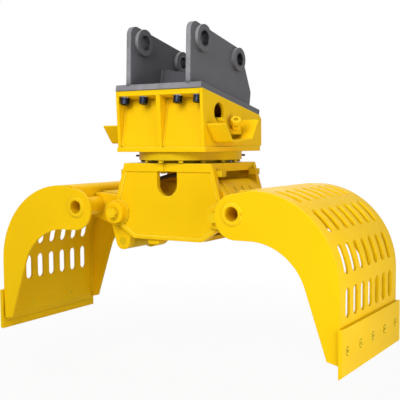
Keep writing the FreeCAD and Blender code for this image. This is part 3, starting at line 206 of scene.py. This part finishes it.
def painted_front_highlight(tree, tone):
    """Painted highlight: the tone, in patches, where rounded edges and faces look forwards and up towards the
    key lamp, black elsewhere.
    """
    facing = share_towards(tree, rounded_normal(tree, FRONT_HIGHLIGHT_WIDTH, EDGE_SAMPLES), FRONT_HIGHLIGHT_DIRECTION)
    front = ramp(tree, facing, [(FRONT_HIGHLIGHT_FACING[0], grey(0.0)), (FRONT_HIGHLIGHT_FACING[1], tone)])
    patches = ramp(tree, noise(tree, FRONT_HIGHLIGHT_GRAIN), [(0.35, grey(FRONT_HIGHLIGHT_LEAST)), (0.65, grey(1.0))])
    return blend(tree, "MULTIPLY", front, patches)


def painted_edge_highlight(tree, tone):
    """Painted highlight: the tone on upright faces along their upper edges, black elsewhere."""
    face = tree.nodes.new("ShaderNodeNewGeometry")
    rounded = share_towards(tree, rounded_normal(tree, EDGE_HIGHLIGHT_WIDTH, EDGE_SAMPLES), (0, 0, 1))
    plain = share_towards(tree, face.outputs["Normal"], (0, 0, 1))
    lift = worked_out(tree, "SUBTRACT", rounded, plain)
    return ramp(tree, lift, [(EDGE_LIFT[0], grey(0.0)), (EDGE_LIFT[1], tone)])


def relief(tree, shader, height, strength, depth, edge=0.0):
    """Small surface relief, with edges that look rounded by the given radius."""
    bump = tree.nodes.new("ShaderNodeBump")
    bump.inputs["Strength"].default_value = strength
    bump.inputs["Distance"].default_value = depth
    tree.links.new(height, bump.inputs["Height"])
    if edge:
        tree.links.new(rounded_normal(tree, edge, samples=4), bump.inputs["Normal"])
    tree.links.new(bump.outputs["Normal"], shader.inputs["Normal"])


# Materials

PAINT_SHINE = 0.28              # against 0.5 for plain paint
PAINT_IOR = 1.2


def new_material(name):
    """An empty node material: the material, its tree and its shader."""
    mat = bpy.data.materials.new(name)
    mat.use_nodes = True
    return mat, mat.node_tree, mat.node_tree.nodes["Principled BSDF"]


def uneven_roughness(tree, shader, grain, least, spread):
    """Roughness that wanders between least and least + spread."""
    rough = ramp(tree, noise(tree, grain), [(0.3, grey(least)), (0.7, grey(least + spread))])
    tree.links.new(rough, shader.inputs["Roughness"])


def paint(name, light, dark, rough, edge=0.0, chips=0.0, dark_below=None, highlight_front=None, highlight_upper=None,
          shade=SHADE_TONE):
    """Sprayed paint on steel plate: slow colour drift, orange peel, painted shade in the corners.

    chips is the share of small dark spots, and dark_below a height under which the iron is bare.
    The tone for the front, when given, is a painted highlight where faces and edges look forwards and up, and
    the tone for the upper edges a painted highlight along them.
    shade is the tone of the painted shade in the corners.
    """
    mat, tree, shader = new_material(name)
    drift = ramp(tree, noise(tree, DRIFT_GRAIN), [(0.3, dark), (0.7, light)])
    colour = blend(tree, "MULTIPLY", drift, painted_corner_shade(tree, shade))
    if chips:
        colour = blend(tree, "MULTIPLY", colour, chipped(tree, chips))
    if highlight_front:
        colour = blend(tree, "ADD", colour, painted_front_highlight(tree, highlight_front))
    if highlight_upper:
        colour = blend(tree, "ADD", colour, painted_edge_highlight(tree, highlight_upper))
    if dark_below is not None:
        colour = blend(tree, "MULTIPLY", colour, darker_under(tree, dark_below))
    tree.links.new(colour, shader.inputs["Base Color"])
    uneven_roughness(tree, shader, SHEEN_GRAIN, least=rough, spread=0.08)
    shader.inputs["Specular IOR Level"].default_value = PAINT_SHINE
    shader.inputs["IOR"].default_value = PAINT_IOR
    peel = noise(tree, PEEL_GRAIN, detail=1.0)
    relief(tree, shader, peel, strength=0.10, depth=0.0006, edge=edge)
    return mat


def steel(name, light, dark, rough):
    """Bare or blackened metal with fine turning marks."""
    mat, tree, shader = new_material(name)
    shader.inputs["Metallic"].default_value = 1.0
    colour = ramp(tree, noise(tree, STAIN_GRAIN), [(0.35, dark), (0.65, light)])
    tree.links.new(colour, shader.inputs["Base Color"])
    uneven_roughness(tree, shader, POLISH_GRAIN, least=rough, spread=0.15)
    marks = noise(tree, TURNING_GRAIN, detail=2.0)
    relief(tree, shader, marks, strength=0.15, depth=0.0003, edge=0.0008)
    return mat


def rubber(name, light, dark):
    """Wrapped hose cover with its cloth pattern."""
    mat, tree, shader = new_material(name)
    colour = ramp(tree, noise(tree, RUBBER_GRAIN), [(0.3, dark), (0.7, light)])
    tree.links.new(colour, shader.inputs["Base Color"])
    shader.inputs["Roughness"].default_value = 0.55
    relief(tree, shader, noise(tree, CLOTH_GRAIN, detail=2.0), strength=0.4, depth=0.0004)
    return mat


YELLOW_TONES = ((0.93, 0.58, 0.004), (0.88, 0.54, 0.003))
FITTING_TONES = ((0.92, 0.62, 0.010), (0.84, 0.55, 0.006))
# painted highlight along the upper edges of the yellow plates
UPPER_EDGE_HIGHLIGHT = (0.07, 0.22, 0.05)
NIPPLES_UNDER = at(0, 0, -5).z  # grease nipples lie below, the painted fittings above

# The yellow carries a painted highlight along its upper edges.
YELLOW = paint("yellow_paint", *YELLOW_TONES, rough=0.40, edge=0.003, highlight_upper=UPPER_EDGE_HIGHLIGHT)
# A copy of the yellow with deep painted shade in its slots, corners and bolt recesses, for the shells.
YELLOW_DEEP_SHADE = paint("yellow_paint_deep_shade", *YELLOW_TONES, rough=0.40, edge=0.003,
                       highlight_upper=UPPER_EDGE_HIGHLIGHT, shade=SLOT_SHADE_TONE)
# Small fittings: chips, and deep painted shade in their recesses and sockets.
YELLOW_SMALL = paint("yellow_paint_fittings", *FITTING_TONES, rough=0.36, edge=0.001, chips=0.30,
                     shade=DEEP_SHADE_TONE)
# A darker copy of the yellow, painted shade, for the ring, brackets and pin that sit back in shade.
YELLOW_SHADED = paint("yellow_paint_shaded", (0.78, 0.52, 0.006), (0.66, 0.43, 0.005), rough=0.42, edge=0.002)
# The grey carries a painted highlight, in patches, on the faces and edges that look forwards and up.
GREY = paint("grey_paint", (0.150, 0.148, 0.162), (0.126, 0.125, 0.137), rough=0.36, edge=0.004,
             highlight_front=(0.15, 0.15, 0.155))
# A darker copy of the grey, painted shade, for the cross plate set back between the ears.
GREY_SHADED = paint("grey_paint_shaded", (0.105, 0.104, 0.114), (0.090, 0.089, 0.098), rough=0.40, edge=0.002)
BLACK_BOLTS = steel("black_bolts", (0.030, 0.034, 0.050), (0.012, 0.014, 0.024), rough=0.28)
BUSH_STEEL = steel("bush_steel", (0.10, 0.10, 0.105), (0.05, 0.05, 0.055), rough=0.42)
BRIGHT_STEEL = steel("machined_steel", (0.62, 0.62, 0.64), (0.46, 0.46, 0.48), rough=0.22)
CHROME = steel("chromed_rod", (0.80, 0.80, 0.82), (0.72, 0.72, 0.74), rough=0.08)
IRON = steel("motor_iron", (0.09, 0.09, 0.10), (0.05, 0.05, 0.06), rough=0.50)
WELD_YELLOW = paint("yellow_weld", (0.95, 0.64, 0.012), (0.84, 0.54, 0.006), rough=0.34)
# A lighter yellow, a painted highlight, for the bead along the front plate's rim.
RIM_HIGHLIGHT = paint("yellow_rim_highlight", (0.99, 0.74, 0.05), (0.95, 0.66, 0.02), rough=0.34)
WELD_GREY = paint("grey_weld", (0.17, 0.17, 0.185), (0.12, 0.12, 0.13), rough=0.34)
FITTINGS = paint("yellow_paint_box_fittings", *FITTING_TONES, rough=0.36, edge=0.001,
                 dark_below=NIPPLES_UNDER)
HOSE_COVER = rubber("hose_rubber", (0.105, 0.072, 0.030), (0.060, 0.042, 0.020))

# Which finish each imported piece wears, the darker copies carrying painted shade; every piece not named here
# is painted yellow.
FINISHES = {
    GREY: ["adapter_plate", "adapter_ear_left", "adapter_ear_right"],
    GREY_SHADED: ["adapter_cross_plate"],
    BUSH_STEEL: ["pin_bushes"],
    BLACK_BOLTS: ["adapter_screws"],
    YELLOW_SHADED: ["slew_ring_outer", "slew_ring_inner", "ring_bolts_inner", "frame_brackets", "tie_pin"],
    FITTINGS: ["box_fittings"],
    YELLOW_DEEP_SHADE: ["left_sheet", "right_sheet", "left_cutting_edge", "right_cutting_edge",
                     "left_arm_cover", "right_arm_cover"],
    YELLOW_SMALL: ["ring_bolts_outer", "pivot_bolts", "left_edge_bolts", "right_edge_bolts", "hose_end",
                   "cylinder_gland"],
    BRIGHT_STEEL: ["union_housing", "union_rotor", "drive_pinion", "left_cylinder_pin",
                   "right_cylinder_pin"],
    CHROME: ["cylinder_rod"],
    IRON: ["slew_motor"],
}


def dress_nodes():
    """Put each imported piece's finish into its material slots."""
    finish = {name: mat for mat, names in FINISHES.items() for name in names}
    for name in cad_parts:
        for place in bpy.data.objects[name].material_slots:
            place.material = finish.get(name, YELLOW)


# Pieces of looks


def new_piece(name, body, mesh, mat):
    """Mesh object in the scene, smooth, riding on a body."""
    piece = bpy.data.objects.new(name, mesh)
    bpy.context.collection.objects.link(piece)
    mesh.materials.append(mat)
    mesh.shade_smooth()
    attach(piece, body)


def mesh_of(name, work):
    """Mesh made from a bmesh, which is freed."""
    mesh = bpy.data.meshes.new(name)
    work.to_mesh(mesh)
    work.free()
    return mesh


def walk_along(points, step):
    """Points evenly spaced along a polyline."""
    walk = [points[0]]
    for a, b in zip(points, points[1:]):
        count = max(1, round((b - a).length / step))
        walk += [a.lerp(b, (i + 1) / count) for i in range(count)]
    return walk


BEAD_SIDES = 8
BEAD_STEP = 0.0009              # metres from ring to ring, for each millimetre of radius
BEAD_RIPPLE = 0.10              # every other ring is thicker by this share
BEAD_UNEVEN = 0.07              # and each by up to this share at random
BEAD_TIP = 0.45                 # share of the radius at the ends
BEAD_GROWTH = 0.3               # and what it gains with each ring from there
BEAD_REFERENCE = Vector((0.31, 0.52, 0.79))     # no weld runs this way


def bead_ring(work, point, heading, radius):
    """Corners of one ring of a bead, square to its heading."""
    across = heading.cross(BEAD_REFERENCE).normalized()
    upward = across.cross(heading)
    ring = []
    for k in range(BEAD_SIDES):
        angle = 2 * math.pi * k / BEAD_SIDES
        offset = across * math.cos(angle) + upward * math.sin(angle)
        ring.append(work.verts.new(point + offset * radius))
    return ring


def add_bead(work, path, radius, chance):
    """One rippled bead along a path, closed at both ends; the radius is in millimetres."""
    walk = walk_along(path, radius * BEAD_STEP)
    last = len(walk) - 1
    rings = []
    for i, point in enumerate(walk):
        heading = (walk[min(i + 1, last)] - walk[max(i - 1, 0)]).normalized()
        end = min(1.0, BEAD_TIP + BEAD_GROWTH * min(i, last - i))
        uneven = chance.uniform(-BEAD_UNEVEN, BEAD_UNEVEN)
        swell = radius / 1000 * end * (1 + BEAD_RIPPLE * (i % 2) + uneven)
        rings.append(bead_ring(work, point, heading, swell))
    for low, high in zip(rings, rings[1:]):
        for k in range(BEAD_SIDES):
            after = (k + 1) % BEAD_SIDES
            work.faces.new((low[k], low[after], high[after], high[k]))
    work.faces.new(rings[0][::-1])
    work.faces.new(rings[-1])


def beads(name, body, mat, paths, radius, seed):
    """One piece of weld beads, half sunk in the corners that they fill."""
    chance = Random(seed)
    work = bmesh.new()
    for path in paths:
        add_bead(work, path, radius, chance)
    new_piece(name, body, mesh_of(name, work), mat)


def run(*points):
    """A path straight from point to point of the drawing frame."""
    return [at(*p) for p in points]


FULL_TURN = (0, 360)


def arc(x, y, z, radius, start, end, count):
    """Points on an arc about an axis along Y, angles in degrees from +X towards +Z."""
    angles = [math.radians(start + (end - start) * i / count) for i in range(count + 1)]
    return [at(x + radius * math.cos(a), y, z + radius * math.sin(a)) for a in angles]


# Sizes of the solids that the pieces of looks lie on
TILT = math.radians(11.05)      # slope of the adapter
ADAPTER_EDGE_Y = -288           # front edge of its upper face
ADAPTER_EDGE_Z = 321
ADAPTER_LEN = 585
EAR_FACES = (155.5, 180.5)      # inner and outer face of an ear
EAR_BEAD_U = (6, ADAPTER_LEN - 6)       # ends of the beads along an ear
EAR_TIP_X = (156, 180)          # ends of the bead at an ear's front
EAR_TIP_U = -1
EAR_TIP_N = 2
CROSS_FACES = (252, 282)        # faces of the cross plate, along the adapter
CROSS_BEAD_N = (2, 143)         # foot and head of its upright beads
SCREW_X = (-206, -97, 97, 206)
SCREW_U = (38.5, 547.1)         # along the adapter
SCREW_SEAT = -53                # underside of the box's top plate, from the adapter's face
BOX_HALF = 245                  # outer faces of the box's side plates
BOX_IN = 229
BOX_FOOT_HALF = 268             # their welds run this far to the front and back
BASE_TOP = 22
PANEL_FOOT_Y = -263             # face of the front panel, at its foot and head
PANEL_HEAD_Y = -219
PANEL_HEAD_Z = 254
RIB_HALF = 12
GUARD_STRIP = ((-252, 125), (-188, 45), (8, 59), (68, 142))     # (y, z) where a guard meets the box
SHELL_FACE = 365                # outer faces of a shell's side plates
SHELL_IN = 353
TUBE_X = 439
TUBE_Z = -270
TUBE_R = 45
CROWN_X = 540                   # centre of the sheet's bend
CROWN_Z = -565
SHEET_IN_R = 388
SHEET_IN_X = CROWN_X + SHEET_IN_R
SHEET_FOOT_Z = -850
SHEET_BEND = (0, 100)           # degrees of its bend that the seam follows, from straight out
TUBE_OPEN = (130, 345)          # degrees of the tube's girth that face away from the sheet
ARM_IN = 150
ARM_OUT = 189.5
FRAME_FACE = 220                # outer faces of the frame's front and rear plate
PIVOT_X = 290
PIVOT_Z = -300
PIVOT_RING_R = 60
RIM_STEP = 216.5                # middle of the slope inside the front plate's rim
RIM_RUN = ((281, -228), (243, -100))
RIM_FOOT = ((264, -357), (188, -408), (-188, -408), (-264, -357))
LUG = ((-120, -425), (-120, -441), (-113, -450), (-62, -450), (-55, -441), (-55, -425))
LUG_FRONT = -206
LUG_BACK = -168
SEAM_LIFT = 1                   # middle of a bead, this far out of its corner


def on_adapter(x, u, n):
    """A point of the tilted adapter: u back along its plate, n up from the plate's face."""
    return at(x, ADAPTER_EDGE_Y + u * math.cos(TILT) + n * math.sin(TILT),
              ADAPTER_EDGE_Z - u * math.sin(TILT) + n * math.cos(TILT))


def adapter_welds():
    """Beads along the ears, round the cross plate and at the ears' front ends."""
    inner = EAR_FACES[0]
    paths = []
    for side in (-1, 1):
        paths += [[on_adapter(side * face, u, SEAM_LIFT) for u in EAR_BEAD_U] for face in EAR_FACES]
        paths += [[on_adapter(side * inner, u, n) for n in CROSS_BEAD_N] for u in CROSS_FACES]
    paths += [[on_adapter(x, u, SEAM_LIFT) for x in (-inner, inner)] for u in CROSS_FACES]
    beads("adapter_welds", "root", WELD_GREY, paths, radius=5.5, seed=3)
    tips = [[on_adapter(side * x, EAR_TIP_U, EAR_TIP_N) for x in EAR_TIP_X] for side in (-1, 1)]
    beads("adapter_front_welds", "root", WELD_GREY, tips, radius=7, seed=4)


def box_welds():
    """Beads round the front panel, along the box's foot and along the hose guards."""
    paths = []
    for x in (-BOX_IN, -RIB_HALF, RIB_HALF, BOX_IN):
        paths.append(run((x, PANEL_FOOT_Y, BASE_TOP), (x, PANEL_HEAD_Y, PANEL_HEAD_Z)))
    for x0, x1 in ((-BOX_IN, -RIB_HALF), (RIB_HALF, BOX_IN)):
        paths.append(run((x0, PANEL_FOOT_Y, BASE_TOP), (x1, PANEL_FOOT_Y, BASE_TOP)))
    beads("box_panel_welds", "root", WELD_YELLOW, paths, radius=4.5, seed=5)
    foot = (-BOX_FOOT_HALF, BOX_FOOT_HALF)
    paths = [run(*((side * BOX_HALF, y, BASE_TOP) for y in foot)) for side in (-1, 1)]
    beads("box_foot_welds", "root", WELD_YELLOW, paths, radius=4, seed=6)
    paths = [run(*((side * BOX_HALF, y, z) for y, z in GUARD_STRIP)) for side in (-1, 1)]
    beads("guard_welds", "root", WELD_YELLOW, paths, radius=3.5, seed=7)


def mirrored(points, side):
    """The points as they are for side 1, and on the other side of the slew axis for side -1."""
    return [Vector((side * p.x, p.y, p.z)) for p in points]


def shell_welds(name, side):
    """Beads of one shell; side is -1 for the left and 1 for the right."""
    body = name + "_shell"
    seams = []
    for y in (-SHELL_IN, SHELL_IN):
        foot = at(SHEET_IN_X, y, SHEET_FOOT_Z)
        bend = arc(CROWN_X, y, CROWN_Z, SHEET_IN_R, *SHEET_BEND, count=24)
        seams.append(mirrored([foot] + bend, side))
    beads(name + "_seam_welds", body, WELD_YELLOW, seams, radius=6, seed=11)
    ring_r = TUBE_R + SEAM_LIFT
    rings = []
    for y in (-SHELL_FACE, SHELL_FACE):
        rings.append(mirrored(arc(TUBE_X, y, TUBE_Z, ring_r, *FULL_TURN, count=40), side))
    beads(name + "_tube_welds", body, WELD_YELLOW, rings, radius=7.5, seed=12)
    inner = []
    for y in (-SHELL_IN, SHELL_IN, -ARM_OUT, ARM_OUT, -ARM_IN, ARM_IN):
        inner.append(mirrored(arc(TUBE_X, y, TUBE_Z, ring_r, *TUBE_OPEN, count=30), side))
    beads(name + "_tube_inner_welds", body, WELD_YELLOW, inner, radius=5, seed=13)


def frame_welds():
    """Beads round the pivots, and a lighter bead along the front plate's rim as a painted highlight."""
    rings = []
    for y in (-FRAME_FACE, FRAME_FACE):
        for x in (-PIVOT_X, PIVOT_X):
            rings.append(arc(x, y, PIVOT_Z, PIVOT_RING_R + SEAM_LIFT, *FULL_TURN, count=40))
    beads("pivot_ring_welds", "lower_frame", WELD_YELLOW, rings, radius=4, seed=21)
    rims = [run(*((side * x, -RIM_STEP, z) for x, z in RIM_RUN)) for side in (-1, 1)]
    rims.append(run(*((x, -RIM_STEP, z) for x, z in RIM_FOOT)))
    beads("rim_painted_highlight", "lower_frame", RIM_HIGHLIGHT, rims, radius=3, seed=22)


def frame_lug():
    """Small block with cut corners, welded under the front plate."""
    work = bmesh.new()
    front = [work.verts.new(at(x, LUG_FRONT, z)) for x, z in LUG]
    back = [work.verts.new(at(x, LUG_BACK, z)) for x, z in LUG]
    work.faces.new(front)
    work.faces.new(back[::-1])
    for k in range(len(LUG)):
        after = (k + 1) % len(LUG)
        work.faces.new((front[after], front[k], back[k], back[after]))
    bmesh.ops.recalc_face_normals(work, faces=work.faces)
    mesh = mesh_of("frame_lug", work)
    new_piece("frame_lug", "lower_frame", mesh, YELLOW)
    mesh.shade_flat()


WASHER_SIDES = 32
WASHER_PROFILE = ((21.7, 0), (21.7, -2.6), (24.2, -2.6), (25, -1.8), (25, 0))   # (radius, height)


def add_washer(work, x, u):
    """One washer on the adapter's screw at x and u."""
    loops = []
    for i in range(WASHER_SIDES):
        angle = 2 * math.pi * i / WASHER_SIDES
        loop = []
        for r, height in WASHER_PROFILE:
            place = on_adapter(x + r * math.cos(angle), u + r * math.sin(angle), SCREW_SEAT + height)
            loop.append(work.verts.new(place))
        loops.append(loop)
    for i in range(WASHER_SIDES):
        now = loops[i]
        after = loops[(i + 1) % WASHER_SIDES]
        for k in range(len(WASHER_PROFILE)):
            up = (k + 1) % len(WASHER_PROFILE)
            work.faces.new((now[k], after[k], after[up], now[up]))


def screw_washers():
    """Bright washers between the screw heads and the box's top plate."""
    work = bmesh.new()
    for x in SCREW_X:
        for u in SCREW_U:
            add_washer(work, x, u)
    new_piece("screw_washers", "root", mesh_of("screw_washers", work), BRIGHT_STEEL)


# Hose in the lower frame, along the same route as its solid
HOSE_ROUTE = ((-58, -21, -116), (-92, -33, -120), (-121, -55, -129),
              (-142, -84, -139), (-154, -118, -145), (-156, -154, -147))
HOSE_R = 0.010


def hose():
    """Round hose on its route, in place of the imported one."""
    curve = bpy.data.curves.new("hose", "CURVE")
    curve.dimensions = "3D"
    curve.bevel_depth = HOSE_R
    curve.bevel_resolution = 6
    curve.use_fill_caps = True
    curve.resolution_u = 16
    route = curve.splines.new("NURBS")
    route.points.add(len(HOSE_ROUTE) - 1)
    for point, place in zip(route.points, HOSE_ROUTE):
        point.co = (*at(*place), 1)
    route.order_u = 3
    route.use_endpoint_u = True
    curve.materials.append(HOSE_COVER)
    piece = bpy.data.objects.new("hose", curve)
    bpy.context.collection.objects.link(piece)
    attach(piece, "lower_frame")
    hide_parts("supply_hose")


# Photograph's view, from a fit of the camera to the object's known points

VIEW_AZIMUTH = 31.34            # degrees
VIEW_ELEVATION = 4.03
VIEW_ROLL = -0.36
VIEW_DISTANCE = 4.0957          # metres
VIEW_LENS = 73.31
AIM_RIGHT = 46.11               # aim point, to the right of the slew axis and above the base plate
AIM_HEIGHT = -244.68


def photo_camera():
    """Camera that sees the object as the photograph does."""
    turn = math.radians(VIEW_AZIMUTH)
    rise = math.radians(VIEW_ELEVATION)
    roll = math.radians(VIEW_ROLL)
    right = Vector((math.cos(turn), math.sin(turn), 0))
    back = Vector((math.sin(turn) * math.cos(rise), -math.cos(turn) * math.cos(rise), math.sin(rise)))
    up = back.cross(right)
    across = right * math.cos(roll) + up * math.sin(roll)
    upright = up * math.cos(roll) - right * math.sin(roll)
    aim = at(right.x * AIM_RIGHT, right.y * AIM_RIGHT, AIM_HEIGHT)
    camera = bpy.data.objects.new("camera", bpy.data.cameras.new("camera"))
    camera.data.lens = VIEW_LENS
    camera.matrix_world = Matrix((across, upright, back)).transposed().to_4x4()
    camera.location = aim + back * VIEW_DISTANCE
    bpy.context.collection.objects.link(camera)
    bpy.context.scene.camera = camera


# Studio

GRAPPLE_MIDDLE = (0, 0, -300)

# Each lamp: name, place and target in the drawing frame, side in metres, power in watts
LAMPS = (
    ("key", (200, -3700, 2000), GRAPPLE_MIDDLE, 2.2, 122),
    ("fill", (2500, -900, -500), (700, 0, -500), 1.6, 28),
    ("top", (0, 300, 3600), GRAPPLE_MIDDLE, 3.0, 50),
    ("rear", (-1200, 3200, 1500), GRAPPLE_MIDDLE, 2.4, 18),
)


def lamp(name, place, target, size, power):
    """A square soft lamp aimed at a point."""
    data = bpy.data.lights.new(name, "AREA")
    data.size = size
    data.energy = power
    lamp_object = bpy.data.objects.new(name, data)
    lamp_object.location = place
    lamp_object.rotation_euler = (target - place).to_track_quat("-Z", "Y").to_euler()
    bpy.context.collection.objects.link(lamp_object)


def lights():
    """All lamps of the studio."""
    for name, place, target, size, power in LAMPS:
        lamp(name, at(*place), at(*target), size, power)


def seen_directly(tree):
    """1 for rays straight from the camera, from a mirror or through glass; else 0."""
    path = tree.nodes.new("ShaderNodeLightPath")
    mirror = worked_out(tree, "MAXIMUM", path.outputs["Is Camera Ray"], path.outputs["Is Glossy Ray"])
    return worked_out(tree, "MAXIMUM", mirror, path.outputs["Is Transmission Ray"])


WORLD_LIGHT = 0.32              # from above and all round, on the object
WORLD_UNDER = 0.10              # from straight below


def studio_world():
    """White to the camera, soft light on the object that fades towards the ground."""
    world = bpy.data.worlds.new("studio")
    world.use_nodes = True
    bpy.context.scene.world = world
    tree = world.node_tree
    background = tree.nodes["Background"]
    background.inputs["Color"].default_value = (1, 1, 1, 1)
    height = height_in(tree, coordinates(tree, "Generated"))
    soft = rescaled(tree, height, (-1.0, 0.0), (WORLD_UNDER, WORLD_LIGHT))
    level = tree.nodes.new("ShaderNodeMapRange")
    level.inputs["To Max"].default_value = 1.0
    tree.links.new(soft, level.inputs["To Min"])
    tree.links.new(seen_directly(tree), level.inputs["Value"])
    tree.links.new(level.outputs["Result"], background.inputs["Strength"])


FLOOR_HALF = 30.0
FLOOR_LEVEL = -1180             # under the tips of the closed shells, in mm
FLOOR_GRAIN = 2.0
FLOOR_TONES = (0.60, 0.64)
FLOOR_FADE = (1.4, 3.2)         # metres from its middle where it starts to turn white and is white
FLOOR_WHITE = 0.93              # share of plain white near the object


def floor_material():
    """Pale floor that keeps a faint shadow and turns white in the distance."""
    mat, tree, shader = new_material("floor_white")
    dark, light = FLOOR_TONES
    tone = ramp(tree, noise(tree, FLOOR_GRAIN), [(0.3, grey(dark)), (0.7, grey(light))])
    tree.links.new(tone, shader.inputs["Base Color"])
    shader.inputs["Roughness"].default_value = 0.9
    shader.inputs["Specular IOR Level"].default_value = 0.0
    distance = tree.nodes.new("ShaderNodeVectorMath")
    distance.operation = "LENGTH"
    tree.links.new(coordinates(tree), distance.inputs[0])
    fade = rescaled(tree, distance.outputs["Value"], FLOOR_FADE, (FLOOR_WHITE, 1.0))
    white = tree.nodes.new("ShaderNodeEmission")
    mix = tree.nodes.new("ShaderNodeMixShader")
    tree.links.new(worked_out(tree, "MULTIPLY", fade, seen_directly(tree)), mix.inputs["Fac"])
    tree.links.new(shader.outputs["BSDF"], mix.inputs[1])
    tree.links.new(white.outputs["Emission"], mix.inputs[2])
    tree.links.new(mix.outputs["Shader"], tree.nodes["Material Output"].inputs["Surface"])
    return mat


def floor():
    """Plane that the closed shells just clear, its own middle below the slew axis."""
    mesh = bpy.data.meshes.new("floor")
    corners = [(x * FLOOR_HALF, y * FLOOR_HALF, 0) for x, y in ((-1, -1), (1, -1), (1, 1), (-1, 1))]
    mesh.from_pydata(corners, [], [(0, 1, 2, 3)])
    piece = bpy.data.objects.new("floor", mesh)
    piece.location = at(0, 0, FLOOR_LEVEL)
    bpy.context.collection.objects.link(piece)
    mesh.materials.append(floor_material())


bpy.context.scene.view_settings.view_transform = "Standard"
dress_nodes()
adapter_welds()
box_welds()
shell_welds("left", -1)
shell_welds("right", 1)
frame_welds()
frame_lug()
screw_washers()
hose()
photo_camera()
studio_world()
lights()
floor()
